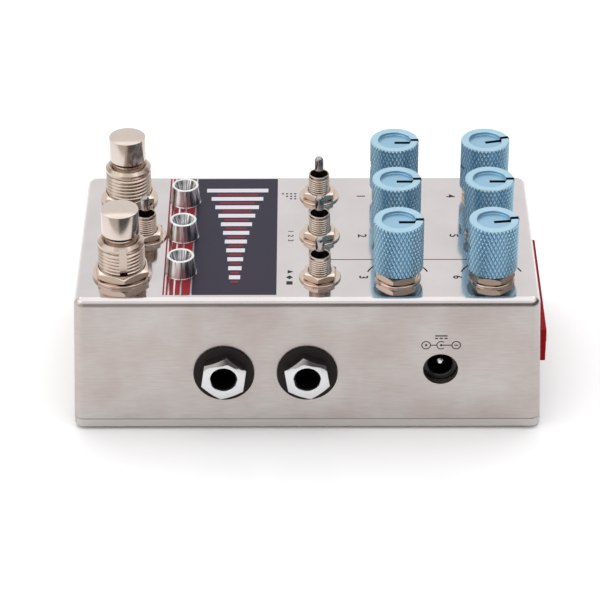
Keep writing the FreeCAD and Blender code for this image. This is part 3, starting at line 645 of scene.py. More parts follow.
def lathe_turned():
    """Bright metal with the lathe's rings left in: each highlight is drawn out across the rings. Painted
    reflections: dark and bright streaks from foot to rim, about 22 of them all round, are painted into
    its colour. The flat rim has none, and is painted a pale grey brighter than the chrome, a painted
    highlight."""
    base = settings("finishes").chrome
    material, tree, shader, where = begin("lathe_turned_bright_metal", Metallic=1.0, Anisotropic=0.85)
    across = node(tree, "Tangent", direction_type="UV_MAP", uv_map=LATHE_MAP)
    unrolled = node(tree, "UVMap", uv_map=LATHE_MAP)
    stretched = node(tree, "Mapping", {0: unrolled, "Scale": (0.003, 1, 1)})
    streaks = node(tree, "TexNoise", {"Vector": stretched, "Scale": 22.0, "Detail": 3.0})
    contrast = node(tree, "MapRange", {0: streaks, 1: 0.42, 2: 0.55})
    # Painted reflections: dark and bright streaks in the colour, and a pale rim as a painted highlight.
    dark, bright = shade(base, 0.36), shade(base, 1.4)
    painted_streaks = node(tree, "Mix", {0: contrast, 6: dark, 7: bright}, 2, data_type="RGBA")
    height = node(tree, "SeparateXYZ", {0: where}, 2)
    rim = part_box("led_bezels")[1].z - 0.12 * MM
    flat = node(tree, "Math", {0: height, 1: rim}, operation="GREATER_THAN")
    tint = node(tree, "Mix", {0: flat, 6: painted_streaks, 7: (0.9, 0.9, 0.9)}, 2, data_type="RGBA")
    rough = node(tree, "MapRange", {0: streaks, 3: 0.22, 4: 0.34})
    finished(shader, Tangent=across, Base_Color=tint, Roughness=rough)
    return material


def blue_anodising():
    """Aluminium, fine blasted, then anodised pale blue: a satin metal with a fine sparkle. Painted shade:
    the grooves of the knurl are painted a deeper blue than the tips of the diamonds, and the dish part way
    to it."""
    finish = settings("finishes")
    base = finish.anodised
    material, tree, shader, where = begin("blue_anodised_aluminium", Metallic=0.88)
    grit = node(tree, "TexNoise", {"Vector": where, "Scale": per_mm(0.12), "Detail": 2.0})
    cloud = node(tree, "TexNoise", {"Vector": where, "Scale": per_mm(5.0), "Detail": 2.0})
    crest = node(tree, "Attribute", out="Fac", attribute_name=CREST)
    # Painted shade: low points of the knurl and the dish take the deeper blue, the tips the pale face.
    out_of_shade = node(tree, "MapRange", {0: crest, 1: 0.1, 2: 0.5})
    face = node(tree, "Mix", {0: cloud, 6: shade(base, 0.94), 7: shade(base, 1.05)}, 2, data_type="RGBA")
    tint = node(tree, "Mix", {0: out_of_shade, 6: finish.groove, 7: face}, 2, data_type="RGBA")
    rough = node(tree, "MapRange", {0: grit, 3: 0.3, 4: 0.4})
    bump = node(tree, "Bump", {"Strength": 0.12, "Distance": 0.01 * MM, "Height": grit})
    finished(shader, Base_Color=tint, Roughness=rough, Normal=bump)
    return material


def lamp_epoxy():
    """Clear epoxy of a lamp: water clear, with a faint haze."""
    colours = linear("F2EFE6"), linear("FFFFFF")
    return clouded("clear_epoxy", 0.8, 2.0, colours, (0.02, 0.12), IOR=1.53, Transmission_Weight=0.92)


def solder_mask():
    """Green solder mask over copper: tracks show as lighter lines on a 1.27 mm grid. A brick texture's
    rows are a quarter of a unit high."""
    material, tree, shader, where = begin("green_solder_mask", IOR=1.5, Roughness=0.3)
    colours = {"Color1": linear("1E5B35"), "Color2": linear("246A3E"), "Mortar": linear("3F8A58")}
    sizes = {"Scale": per_mm(1.27) / 4, "Mortar Size": 0.02}
    finished(shader, Base_Color=node(tree, "TexBrick", {"Vector": where, **colours, **sizes}))
    return material


def make_materials():
    finish = settings("finishes")
    return {
        "shell": cast_aluminium(),
        "cover": ground_cover(),
        # Bright nickel on brass: a warm mirror, a little softened by the turned surface below.
        "nickel": bright_metal("bright_nickel_plate", finish.nickel, 0.1, 0.2, 3.0),
        # Nickel over cut threads: the same plating, a little duller, and painted darker for the shade in
        # the thread's grooves.
        "thread": bright_metal("nickel_plated_thread", shade(finish.nickel, 0.82), 0.13, 0.24, 0.6),
        # Dark bright plating of the levers, between chrome and gunmetal.
        "lever": bright_metal("dark_bright_plate", linear("A9A5A3"), 0.06, 0.13, 2.0),
        # Nickel on the foot caps, brushed by many shoes: its mirror is blurred.
        "satin": bright_metal("satin_nickel_plate", finish.cap, 0.14, 0.24, 1.2),
        # Chrome on steel: a cold, clean mirror.
        "chrome": bright_metal("chrome_plate", finish.chrome, 0.04, 0.10, 4.0),
        "lathe": lathe_turned(),
        # Zinc on steel screws: a duller grey with a faint cloudy finish.
        "zinc": bright_metal("zinc_plated_steel", linear("B4B3B0"), 0.25, 0.4, 1.0),
        # Turned aluminium of the shafts and the control bodies, unpolished.
        "turned": bright_metal("turned_aluminium", linear("B5B5B5"), 0.3, 0.42, 1.5),
        # Spring brass with a tin wash, pale yellow and soft.
        "brass": bright_metal("tinned_spring_brass", linear("CDBE93"), 0.22, 0.36, 2.0),
        "anodised": blue_anodising(),
        "lamp": lamp_epoxy(),
        "mask": solder_mask(),
        # Black enamel rubbed into the pointer grooves: dull, hardly shiny.
        "enamel": moulded("black_filled_enamel", linear("060608"), 0.6, 0.75, 0.4, 0.1, 0.04),
        # Painted shade: a dark brown-black lining inside the toggle bushes' bores, round the levers'
        # pivots.
        "bore_shade": moulded("dark_bore_shade", linear("1C1412"), 0.35, 0.6, 0.3, 0.3, 0.4),
        # Pressed vulcanised fibre: brown-black, dull, with short fibres.
        "fibre": moulded("pressed_black_fibre", linear("1F1819"), 0.6, 0.8, 0.25, 0.4, 0.25),
        # Moulded black phenolic of jacks, socket and switch bodies.
        "black": moulded("moulded_black_phenolic", linear("0D0C0D"), 0.2, 0.35, 0.6),
        # Glass-filled nylon of the slide switches.
        "red": moulded("moulded_red_nylon", finish.red, 0.42, 0.52, 0.5, 0.15, 0.1),
        "white": moulded("moulded_white_nylon", linear("E9E2DA"), 0.35, 0.5, 0.5, 0.1),
        # Screen inks: a thin even coat, satin.
        "dark_ink": moulded("dark_screen_ink", finish.dark, 0.34, 0.5, 0.35, 0.2, 0.2),
        "crimson_ink": moulded("crimson_screen_ink", finish.crimson, 0.34, 0.5, 0.35, 0.2, 0.2),
        "pale_ink": moulded("pale_screen_ink", finish.pale, 0.4, 0.55, 0.35, 0.2, 0.2),
        "black_ink": moulded("black_screen_ink", finish.black, 0.4, 0.55, 0.35, 0.2, 0.2),
    }


MATERIALS = {}


def tapered(piece, low, high, draft):
    """Draws the top of an upright block in by the draft of a cast wall."""
    lean = (high.z - low.z) * math.tan(draft)
    width, depth = high.x - low.x, high.y - low.y
    pick(piece, "FACE", upward)
    ratio = (1 - 2 * lean / width, 1 - 2 * lean / depth, 1)
    bpy.ops.transform.resize(value=ratio, center_override=((low.x + high.x) / 2, 0, high.z))
    return done(piece)


def base_corners():
    low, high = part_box("base_plate")
    return Vector((low.x, low.y, BASE_TOP)), Vector((high.x, high.y, PLATE_Z))


def corner_places():
    box = settings("box")
    return [(sx * box.post_x, sy * box.post_y) for sx in (-1, 1) for sy in (-1, 1)]


def cavity():
    """The inside of the box as a solid: drafted, with rounded corners and the four posts left standing."""
    box = settings("box")
    low, high = base_corners()
    low = Vector((low.x + box.wall, low.y + box.wall, BASE_TOP))
    high = Vector((high.x - box.wall, high.y - box.wall, PLATE_Z - box.roof))
    inside = tapered(block("cavity", low, high), low, high, box.draft)
    rounded_by(inside, climbs, box.inner, 4)
    pick(inside, "FACE", lambda face: face.normal.z < -0.5)
    bpy.ops.transform.translate(value=(0, 0, -THROUGH))
    done(inside)
    posts = [cylinder("post", box.post, BASE_TOP - 2 * THROUGH, PLATE_Z, at, 40) for at in corner_places()]
    return combine(inside, joined("posts", posts))


def plate_drills():
    """One drill for each hole in the top plate."""
    box, metal = settings("box"), settings("hardware")
    drills = [(at, metal.pot_bush) for at in knob_places().values()]
    drills += [(at, metal.toggle_bush + box.hole_gap) for at in toggle_places().values()]
    drills += [(at, metal.switch_bush + box.hole_gap) for at in switch_places().values()]
    drills += [(at, LAMP_STEM + box.hole_gap) for at in lamp_places()]
    low, high = PLATE_Z - 2 * box.roof, PLATE_Z + THROUGH
    return [cylinder("drill", radius, low, high, at) for at, radius in drills]


def wall_drills():
    """The drills for the jacks and the power inlet, and the cutter for the slide switches' slot."""
    wall, nose = settings("box").wall, settings("hardware").jack_nose
    drills = [moved(cylinder("drill", nose, -2 * wall, THROUGH), place) for place in jack_places()]
    outside = inlet_place(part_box("base_plate")[1].x)
    drills.append(moved(cylinder("drill", INLET_HOLE, -3 * wall, 2 * wall), outside))
    low, high = bank_box()
    room, back = Vector((SLOT_GAP, 0, SLOT_GAP)), Vector((0, 2 * wall, 0))
    return drills + [block("slot", low - room - back, high + room + back)]


def bank_box():
    """The part of the slide switch blocks above their legs."""
    low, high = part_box("dip_housings")
    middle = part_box("dip_slider_1")[1].z - SLIDER_TOP
    return Vector((low.x, low.y, 2 * middle - high.z)), high


class PEDAL_OT_shell(bpy.types.Operator):
    """Model the drafted cast box with all its holes"""

    bl_idname = "pedal.shell"
    bl_label = "Cast box"

    def execute(self, context):
        box = settings("box")
        low, high = base_corners()
        shell = tapered(block("cast_box", low, high), low, high, box.draft)
        rounded_by(shell, climbs, box.corner, 10)
        rounded_by(shell, level_at(PLATE_Z), box.top_edge, 10)
        rounded_by(shell, level_at(BASE_TOP), box.seam, 2)
        combine(shell, cavity())
        start, end = BASE_TOP - THROUGH, BASE_TOP + 12 * MM
        holes = [cylinder("drill", box.post_hole, start, end, at, 32) for at in corner_places()]
        combine(shell, joined("drills", holes + plate_drills() + wall_drills()))
        smooth(shell, flat_faces=True)
        dress(shell, "shell", ROOT, "cast_aluminium", "enclosure_shell")
        return {"FINISHED"}


class PEDAL_OT_cover(bpy.types.Operator):
    """Model the base cover with its locating ribs, and its four countersunk screws"""

    bl_idname = "pedal.cover"
    bl_label = "Cover and screws"

    sink_low = 0.2 * MM
    sink_high = 2.1 * MM

    def execute(self, context):
        box = settings("box")
        low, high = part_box("base_plate")
        cover = block("base_cover", low, (high.x, high.y, BASE_TOP))
        rounded_by(cover, climbs, box.corner, 10)
        rounded_by(cover, level_at(BASE_TOP), box.seam, 2)
        rounded_by(cover, level_at(0), 0.4 * MM, 3)
        combine(cover, joined("ribs", self.ribs(box, high)), "UNION")
        head, hole = 3.25 * MM, 1.5 * MM
        outline = [(head, -THROUGH), (head, self.sink_low), (hole, self.sink_high), (hole, 2 * BASE_TOP)]
        combine(cover, set_out(turned("sink", outline, 48), "sinks", corner_places()))
        smooth(cover, flat_faces=True)
        dress(cover, "cover", ROOT, "cover_aluminium", "base_plate")
        self.screws()
        return {"FINISHED"}

    def ribs(self, box, high):
        """Four ribs between the posts, just inside the walls."""
        rib, gap = 1.4 * MM, 0.2 * MM
        outer_x, outer_y = high.x - box.wall - gap, high.y - box.wall - gap
        reach_x, reach_y = box.post_x - box.post - gap, box.post_y - box.post - gap
        root = BASE_TOP - rib / 2
        ribs = []
        for side in (-1, 1):
            x_low, x_high = sorted((side * outer_x, side * (outer_x - rib)))
            y_low, y_high = sorted((side * outer_y, side * (outer_y - rib)))
            ribs.append(block("rib", (x_low, -reach_y, root), (x_high, reach_y, high.z)))
            ribs.append(block("rib", (-reach_x, y_low, root), (reach_x, y_high, high.z)))
        return ribs

    def screws(self):
        """Countersunk screws with a crossed recess, whose arms narrow towards their floor."""
        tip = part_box("base_screws")[1].z
        head, shank = 3.15 * MM, 1.3 * MM
        outline = [(head - 0.1 * MM, self.sink_low), (head, self.sink_low + 0.12 * MM)]
        outline += [(shank, self.sink_high)]
        outline += thread(shank, 0.2 * MM, 0.7 * MM, self.sink_high + 0.3 * MM, tip - 0.4 * MM)
        screw = turned("screw", outline + [(shank - 0.3 * MM, tip)], 32)
        long, short, deep = 1.8 * MM, 0.4 * MM, 1.2 * MM
        arms = []
        for half_x, half_y in ((long, short), (short, long)):
            arm = block("arm", (-half_x, -half_y, -THROUGH), (half_x, half_y, deep))
            pick(arm, "FACE", upward)
            bpy.ops.transform.resize(value=(0.6, 0.6, 1))
            arms.append(done(arm))
        combine(screw, combine(*arms, "UNION"))
        fixed_set(screw, "cover_screws", corner_places(), "zinc", "zinc_screw", "base_screws")


class PEDAL_OT_knobs(bpy.types.Operator):
    """Model the six knurled knobs with their filled pointers, and the screws in their sides"""

    bl_idname = "pedal.knobs"
    bl_label = "Knobs"

    dish_shade_mark = 0.34

    def execute(self, context):
        low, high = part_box("knob_front_middle")
        radius = (high.x - low.x) / 2
        pattern = self.body(radius, low.z, high.z)
        self.cut(pattern, radius, high.z)
        smooth(pattern, limit_deg=12.0)
        self.mark_crests(pattern, radius, high.z)
        filling = self.pointer(radius - 0.1 * MM, high.z, 0.015 * MM)
        grub = self.grub_screw(radius)
        for (column, row), at in knob_places().items():
            place = f"{column}_{row}"
            name = f"knob_{place}"
            turn = placed((*at, 0), self.turn_of(name), "Z")
            dress(copied(pattern, f"knurled_{name}", turn), "anodised", name, "blue_anodised", name)
            dress(copied(filling, f"filled_pointer_{place}", turn), "enamel", name, "blue_anodised")
            dress(copied(grub, f"grub_screw_{place}", turn), "zinc", name, "zinc_screw")
        discard(pattern, filling, grub)
        return {"FINISHED"}

    def turn_of(self, name):
        """How far a knob is turned from straight ahead, from its joint's middle."""
        joint = next(j for j in frame["joints"] if j["child"] == name)
        return -math.radians(sum(joint["range_deg"]) / 2)

    def body(self, radius, low, high):
        """The turned body. Rings are laid through the knurl, and every other point is pulled outwards."""
        size = settings("knobs")
        root = radius - size.knurl_depth
        count = 2 * round(2 * math.pi * radius / size.knurl_pitch)
        first, last = low + size.foot, high - size.rim
        rows = round((last - first) / (size.knurl_rise / 2))
        rings = [first + (last - first) * i / rows for i in range(rows + 1)]
        floor = high - size.dish_depth
        edge = 0.12 * MM
        outline = [(size.bore, high - size.skin), (size.bore, low), (root - size.foot / 2, low)]
        outline += [(root, z) for z in rings]
        outline += [(radius - size.rim, high), (size.dish + edge, high), (size.dish, high - edge)]
        outline += [(size.dish, floor + edge), (size.dish - edge, floor)]
        body = turned("knob", outline, count)
        spacing = rings[1] - rings[0]

        def raised(vertex):
            spot = vertex.co
            if spot.xy.length < root - WELD or not rings[0] - WELD < spot.z < rings[-1] + WELD:
                return False
            ring = round((spot.z - first) / spacing)
            step = round((QUARTER - math.atan2(spot.y, spot.x)) / (2 * math.pi) * count)
            return (ring + step) % 2 == 0

        def on_side(face):
            return abs(face.normal.z) < 0.7 and face.calc_center_median().xy.length > root * 0.98

        pick(body, "VERT", raised)
        ratio = radius / root
        bpy.ops.transform.resize(value=(ratio, ratio, 1), center_override=(0, 0, 0))
        pick(body, "FACE", on_side)
        bpy.ops.mesh.quads_convert_to_tris(quad_method="SHORTEST_DIAGONAL")
        return done(body)

    def mark_crests(self, body, radius, high):
        """Marks each point by how far it stands out of the knurl's grooves, for the painted shade there.
        The other faces are marked as pale as the knurl's tips, and the dish, as painted shade, a little
        over half as pale."""
        size = settings("knobs")
        root, floor = radius - size.knurl_depth, high - size.dish_depth
        marks = body.data.attributes.new(CREST, "FLOAT", "POINT")
        for point, mark in zip(body.data.vertices, marks.data):
            reach = point.co.xy.length
            if reach > root - WELD and point.co.z < high - size.rim / 2:
                mark.value = (reach - root) / size.knurl_depth
            else:
                in_dish = reach < size.dish + WELD and point.co.z > floor - WELD
                mark.value = self.dish_shade_mark if in_dish else 1.0

    def pointer(self, radius, high, inset=0.0):
        """The pointer's line, from the middle of the dish up its wall and over the rim. The inset is how
        far it keeps from the metal's surface: nothing for the cutter, a little for the filling."""
        size = settings("knobs")
        half, depth, wall = size.pointer / 2, size.pointer_depth, size.dish
        floor = high - size.dish_depth
        over = THROUGH if inset == 0 else -inset
        line = block("line", (-half, 0, floor - depth), (half, wall + depth, floor + over))
        riser = block("line", (-half, wall + inset, floor - depth), (half, wall + depth, high + over))
        on_rim = block("line", (-half, wall + inset, high - depth), (half, radius + over, high + over))
        combine(line, riser, "UNION")
        return combine(line, on_rim, "UNION")

    def cut(self, body, radius, high):
        """Cuts the pointer's groove and the side screw's hole."""
        size = settings("knobs")
        combine(body, self.pointer(radius, high))
        hole = cylinder("side_hole", size.grub, size.bore, radius + THROUGH, sides=32)
        combine(body, moved(hole, self.side_on()))

    def side_on(self):
        """Lays a piece drawn along +Z on the side screw's line, out towards -Y."""
        return placed((0, 0, PLATE_Z + settings("knobs").grub_up), QUARTER, "X")

    def grub_screw(self, radius):
        """A headless screw with a six-sided socket, just below the knurl."""
        size = settings("knobs")
        outer = size.grub - 0.08 * MM
        start, end = size.bore + 0.1 * MM, radius - 0.75 * MM
        point, lip = 0.25 * MM, 0.2 * MM
        outline = [(outer - point, start), (outer, start + point), (outer, end - lip), (outer - lip, end)]
        screw = turned("grub", outline, 32)
        socket, deep = 0.8 * MM, 1.4 * MM
        combine(screw, cylinder("socket", socket, end - deep, end + THROUGH, sides=6))
        return smooth(moved(screw, self.side_on()))


def hex_nut(flats, bore, low, high, turn, front=None):
    """A hexagonal nut: a six-sided bar crossed with a turned barrel, which bevels its corners at 30
    degrees. A front is a smaller hole and how thick the metal round it is."""
    corner = flats / math.sqrt(3)
    face, reach = flats / 2 * 0.97, corner * 1.03
    drop = (reach - face) * math.tan(math.radians(30))
    edge = min(0.25 * MM, (face - bore) / 3)
    bar = cylinder("nut", corner, low, high, sides=6)
    moved(bar, Matrix.Rotation(turn + math.pi / 6, 4, "Z"))
    moved(bar, Matrix.Rotation(turn_to_corner(bar, turn), 4, "Z"))
    hole, skin = front or (bore, 0)
    outline = [(bore + edge, low - WELD), (face, low - WELD), (reach, low + drop)]
    outline += [(reach, high - drop), (face, high + WELD), (hole + edge, high + WELD), (hole, high - edge)]
    if front:
        outline += [(hole, high - skin), (bore, high - skin)]
    outline += [(bore, low + edge), (bore + edge, low - WELD)]
    return combine(bar, turned("barrel", outline, 96), "INTERSECT")


def turn_to_corner(bar, turn):
    """The small turn that brings the nearest corner of a bar to the wanted direction."""
    corner = min(
        (math.atan2(v.co.y, v.co.x) - turn for v in bar.data.vertices),
        key=lambda gap: abs(math.remainder(gap, 2 * math.pi)),
    )
    return -math.remainder(corner, 2 * math.pi)


def flat_washer(outer, bore, low, high):
    """A stamped washer with rounded edges."""
    edge = min(settings("hardware").edge, (high - low) / 3)
    outline = [(bore, low), (outer - edge, low), (outer, low + edge), (outer, high - edge)]
    outline += [(outer - edge, high), (bore + edge, high), (bore, high - edge), (bore, low)]
    return turned("ring", outline, 96)


def plated_washers(node_name, name, radius, bore, places):
    """A nickel-plated washer at each place on the plate."""
    low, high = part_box(node_name)
    ring = flat_washer(radius, bore, low.z, high.z)
    fixed_set(ring, name, places, "nickel", "warm_nickel", node_name)


def radius_across(node_name, spread):
    """The radius of round pieces whose outer places lie that far apart across the pedal."""
    low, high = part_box(node_name)
    return (high.x - low.x - spread) / 2


class PEDAL_OT_control_nuts(bpy.types.Operator):
    """Model the nut and washer under each knob"""

    bl_idname = "pedal.control_nuts"
    bl_label = "Nuts under the knobs"

    def execute(self, context):
        metal = settings("hardware")
        places = knob_places()
        radius = radius_across("pot_washers", places["rear", "right"].x - places["front", "left"].x)
        plated_washers("pot_washers", "control_washers", radius, metal.pot_bush, places.values())
        low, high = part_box("pot_nuts")
        nuts = []
        for column, turn in (("front", metal.pot_turn_front), ("rear", metal.pot_turn_rear)):
            nut = hex_nut(metal.pot_nut, metal.pot_bush, low.z, high.z, turn)
            nuts.append(set_out(nut, f"nuts_{column}", [places[column, row] for row in ROWS]))
        fixed("control_nuts", nuts, "nickel", "warm_nickel", "pot_nuts")
        return {"FINISHED"}


class PEDAL_OT_toggles(bpy.types.Operator):
    """Model the toggle switches: threaded bushes, washers, nuts and levers"""

    bl_idname = "pedal.toggles"
    bl_label = "Toggle switches"

    def execute(self, context):
        metal = settings("hardware")
        places = toggle_places()
        spots = places.values()
        self.bushes(metal, spots)
        bore = metal.toggle_bush + settings("box").hole_gap
        radius = radius_across("toggle_washers", places["right"].x - places["left"].x)
        plated_washers("toggle_washers", "toggle_rings", radius, bore, spots)
        low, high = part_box("toggle_nuts")
        nut = hex_nut(metal.toggle_nut, bore, low.z, high.z, metal.toggle_turn)
        fixed_set(nut, "toggle_hex_nuts", spots, "nickel", "warm_nickel", "toggle_nuts")
        self.levers(places)
        return {"FINISHED"}

    def bushes(self, metal, spots):
        """Bushes threaded up to a smooth lip, their bores lined dark as painted shade."""
        low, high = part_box("toggle_bushes")
        crest, bore = metal.toggle_bush, metal.toggle_bore
        rim = crest - 0.05 * MM
        lip, edge = high.z - 0.75 * MM, 0.22 * MM
        outline = [(bore, low.z), (crest - metal.fine_depth, low.z)]
        outline += thread(crest, metal.fine_depth, metal.fine_pitch, low.z + 0.2 * MM, lip)
        outline += [(rim, lip), (rim, high.z - edge), (crest - edge, high.z)]
        outline += [(bore + 0.08 * MM, high.z), (bore, high.z - 0.1 * MM), (bore, low.z)]
        bush = turned("bush", outline, 48)
        name = "threaded_toggle_bushes"
        bushes = fixed_set(bush, name, spots, "thread", "warm_nickel", "toggle_bushes")
        # Painted shade: the faces inside the bores take the dark lining.
        lined(bushes, "bore_shade", spots, bore + 0.01 * MM)

    def levers(self, places):
        """A lever has a thin tail and neck, a ball at its pivot and a shank with a domed tip."""
        low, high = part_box("toggle_lever_middle")
        pivot, ball = PLATE_Z + 3.4 * MM, 2.2 * MM
        neck, shank = 0.75 * MM, 1.2 * MM
        meet = math.acos(neck / ball)
        arc = [-meet + 2 * meet * i / 16 for i in range(17)]
        outline = [(neck, low.z)]
        outline += [(ball * math.cos(a), pivot + ball * math.sin(a)) for a in arc]
        flare_low, flare_high = PLATE_Z + 6.6 * MM, PLATE_Z + 7.9 * MM
        outline += [(neck, flare_low), (shank, flare_high), (shank, high.z - shank)]
        lever = smooth(turned("lever", outline + dome(shank, high.z), 40))
        moving_set(lever, "plated_lever_", "toggle_lever_", places, "lever", "polished_steel")


class PEDAL_OT_footswitches(bpy.types.Operator):
    """Model the footswitches: keyed and threaded bushes, washers, nuts and plungers"""

    bl_idname = "pedal.footswitches"
    bl_label = "Footswitches"

    keyway_turns = {"left": math.pi, "right": math.radians(8)}
    nut_turns = {"left": math.radians(4), "right": math.radians(8)}

    def execute(self, context):
        metal = settings("hardware")
        places = switch_places()
        self.bushes(metal, places)
        bore = metal.switch_bush + settings("box").hole_gap
        low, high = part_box("footswitch_washers")
        radius = (high.y - low.y) / 2
        plated_washers("footswitch_washers", "footswitch_rings", radius, bore, places.values())
        low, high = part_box("footswitch_nuts")
        nuts = []
        for side, at in places.items():
            nut = hex_nut(metal.switch_nut, bore, low.z, high.z, self.nut_turns[side])
            nuts.append(set_out(nut, f"nut_{side}", [at]))
        fixed("footswitch_hex_nuts", nuts, "nickel", "warm_nickel", "footswitch_nuts")
        self.plungers(places)
        return {"FINISHED"}

    def bushes(self, metal, places):
        """Bushes threaded up to a bevelled lip, with a flared mouth and a keyway down one side."""
        low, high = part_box("footswitch_bushes")
        crest, bore = metal.switch_bush, metal.switch_bore
        bevel, mouth = 0.75 * MM, 4.9 * MM
        lip = high.z - 1.5 * MM
        outline = [(bore, low.z), (crest - metal.coarse_depth, low.z)]
        outline += thread(crest, metal.coarse_depth, metal.coarse_pitch, low.z + 0.2 * MM, lip)
        outline += [(crest, lip + 0.1 * MM), (crest, high.z - bevel), (crest - bevel, high.z)]
        outline += [(mouth, high.z), (bore, high.z - (mouth - bore)), (bore, low.z)]
        bush = turned("bush", outline, 72)
        floor, half = crest - 0.9 * MM, 1.0 * MM
        keyway = block("keyway", (floor, -half, PLATE_Z), (crest + THROUGH, half, high.z - 0.35 * MM))
        combine(bush, keyway)
        bushes = []
        for side, at in places.items():
            place = placed((*at, 0), self.keyway_turns[side], "Z")
            bushes.append(copied(bush, f"bush_{side}", place))
        discard(bush)
        fixed("threaded_footswitch_bushes", bushes, "thread", "warm_nickel", "footswitch_bushes")

    def plungers(self, places):
        """A plunger is a rod under a wider cap with a finely rounded edge."""
        low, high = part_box("footswitch_plunger_left")
        cap = (high.y - low.y) / 2
        rod, edge = 4.15 * MM, 0.14 * MM
        flare, shoulder, side = PLATE_Z + 12.0 * MM, PLATE_Z + 12.85 * MM, PLATE_Z + 13.0 * MM
        outline = [(rod, low.z), (rod, flare), (cap - 0.1 * MM, shoulder), (cap, side)]
        outline += [(cap, high.z - edge), (cap - 0.3 * edge, high.z - 0.3 * edge), (cap - edge, high.z)]
        plunger = smooth(turned("plunger", outline, 96))
        moving_set(plunger, "nickel_cap_", "footswitch_plunger_", places, "satin", "warm_nickel")


class PEDAL_OT_lamps(bpy.types.Operator):
    """Model the three turned bezels and the lamps in them"""

    bl_idname = "pedal.lamps"
    bl_label = "Indicator lamps"

    def execute(self, context):
        low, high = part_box("led_bezels")
        foot, edge = (high.y - low.y) / 2, 0.1 * MM
        rim, mouth, throat = 3.5 * MM, 2.75 * MM, 1.6 * MM
        top, foot_side, foot_top, seat = high.z, 0.2 * MM, 0.3 * MM, 1.4 * MM
        outline = [(throat, low.z), (LAMP_STEM, low.z), (LAMP_STEM, PLATE_Z), (foot, PLATE_Z)]
        outline += [(foot, PLATE_Z + foot_side), (foot - edge, PLATE_Z + foot_top)]
        outline += [(rim, top - edge), (rim - edge, top), (mouth + edge, top), (mouth, top - edge)]
        outline += [(throat, PLATE_Z + seat), (throat, low.z)]
        bezel = lathe_mapped(turned("bezel", outline, 72))
        fixed_set(bezel, "turned_bezels", lamp_places(), "lathe", "polished_steel", "led_bezels")
        self.lamps(low.z)
        return {"FINISHED"}

    def lamps(self, rim):
        """A lamp has a domed body, a flange under the bezel's lower end, and two legs."""
        low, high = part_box("led_lamps")
        radius, flange = 1.5 * MM, 1.9 * MM
        outline = [(flange, rim - 1.0 * MM), (flange, rim), (radius, rim), (radius, high.z - radius)]
        parts = [turned("lamp", outline + dome(radius, high.z), 40)]
        half = 0.25 * MM
        for x in (-1.0 * MM, 1.0 * MM):
            parts.append(block("leg", (x - half, -half, low.z), (x + half, half, rim - 0.9 * MM)))
        lamp = joined("lamp", parts)
        fixed_set(lamp, "clear_lamps", lamp_places(), "lamp", "clear_lamp", "led_lamps")


class PEDAL_OT_jacks(bpy.types.Operator):
    """Model the fibre washers and the nuts of the four jacks"""

    bl_idname = "pedal.jacks"
    bl_label = "Jacks"

    nut_turns = [math.radians(degrees) for degrees in (-8.0, 9.0, 14.0, -5.0)]

    def execute(self, context):
        metal = settings("hardware")
        low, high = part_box("jack_washers")
        places = jack_places()
        thick, nut_thick, skin = 0.8 * MM, 2.8 * MM, 0.65 * MM
        ring = flat_washer((high.z - low.z) / 2, metal.jack_nose, 0, thick)
        fixed_set(ring, "fibre_washers", places, "fibre", "black_fibre", "jack_washers")
        start, end, front = thick, thick + nut_thick, (metal.jack_bore, skin)
        nuts = []
        for i, (place, turn) in enumerate(zip(places, self.nut_turns)):
            nut = hex_nut(metal.jack_nut, metal.jack_nose, start, end, turn, front)
            nuts.append(set_out(nut, f"jack_nut_{i}", [place]))
        fixed("jack_hex_nuts", nuts, "chrome", "polished_steel", "jack_nuts")
        return {"FINISHED"}


class PEDAL_OT_inlet(bpy.types.Operator):
    """Model the power inlet's moulded socket and its centre pin"""

    bl_idname = "pedal.inlet"
    bl_label = "Power inlet"

    def execute(self, context):
        low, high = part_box("dc_socket_housing")
        place = inlet_place(high.x)
        self.pin(high.x, place)
        self.socket(low, high, place)
        return {"FINISHED"}

    def pin(self, face, place):
        """The pin with its bullet end, on a thinner stem at the back."""
        low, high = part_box("dc_socket_pin")
        root, end, radius = low.x - face, high.x - face, (high.y - low.y) / 2
        stem, floor = 0.7 * MM, -9.5 * MM
        outline = [(stem, root), (stem, floor), (radius, floor), (radius, end - 0.6 * MM)]
        outline += [(radius - 0.15 * MM, end - 0.25 * MM), (radius - 0.55 * MM, end)]
        pin = moved(turned("inlet_pin", outline, 40), place)
        dress(smooth(pin), "chrome", ROOT, "polished_steel", "dc_socket_pin")

    def socket(self, low, high, place):
        """The moulded block with its round nose, bored for the plug, and the legs it stands on."""
        nose, bore, depth, edge = 4.4 * MM, 3.15 * MM, 10.0 * MM, 0.15 * MM
        front = 0.4 * MM
        root = -front - (high.x - low.x - front)
        half_y, half_x = 4.7 * MM, 5.5 * MM
        body = block("inlet_socket", (-half_x, -half_y, root), (half_x, half_y, -front))
        outline = [(nose, -2 * THROUGH), (nose, -edge), (nose - edge, 0)]
        combine(body, turned("nose", outline, 72), "UNION")
        mouth = bore + 2 * edge
        outline = [(bore, -depth), (bore, -2 * edge), (mouth, 0), (mouth, THROUGH)]
        combine(body, turned("bore", outline, 72))
        reach = centre_of("dc_socket_pin").z - low.z
        half, thick = 1.2 * MM, 0.8 * MM
        legs = []
        for back in (6.0 * MM, 11.6 * MM):
            start, end = -front - back - thick, -front - back
            legs.append(block("leg", (half_x - THROUGH, -half, start), (reach, half, end)))
        combine(body, joined("legs", legs), "UNION")
        dress(smooth(moved(body, place)), "black", ROOT, "dark_plastic", "dc_socket_housing")


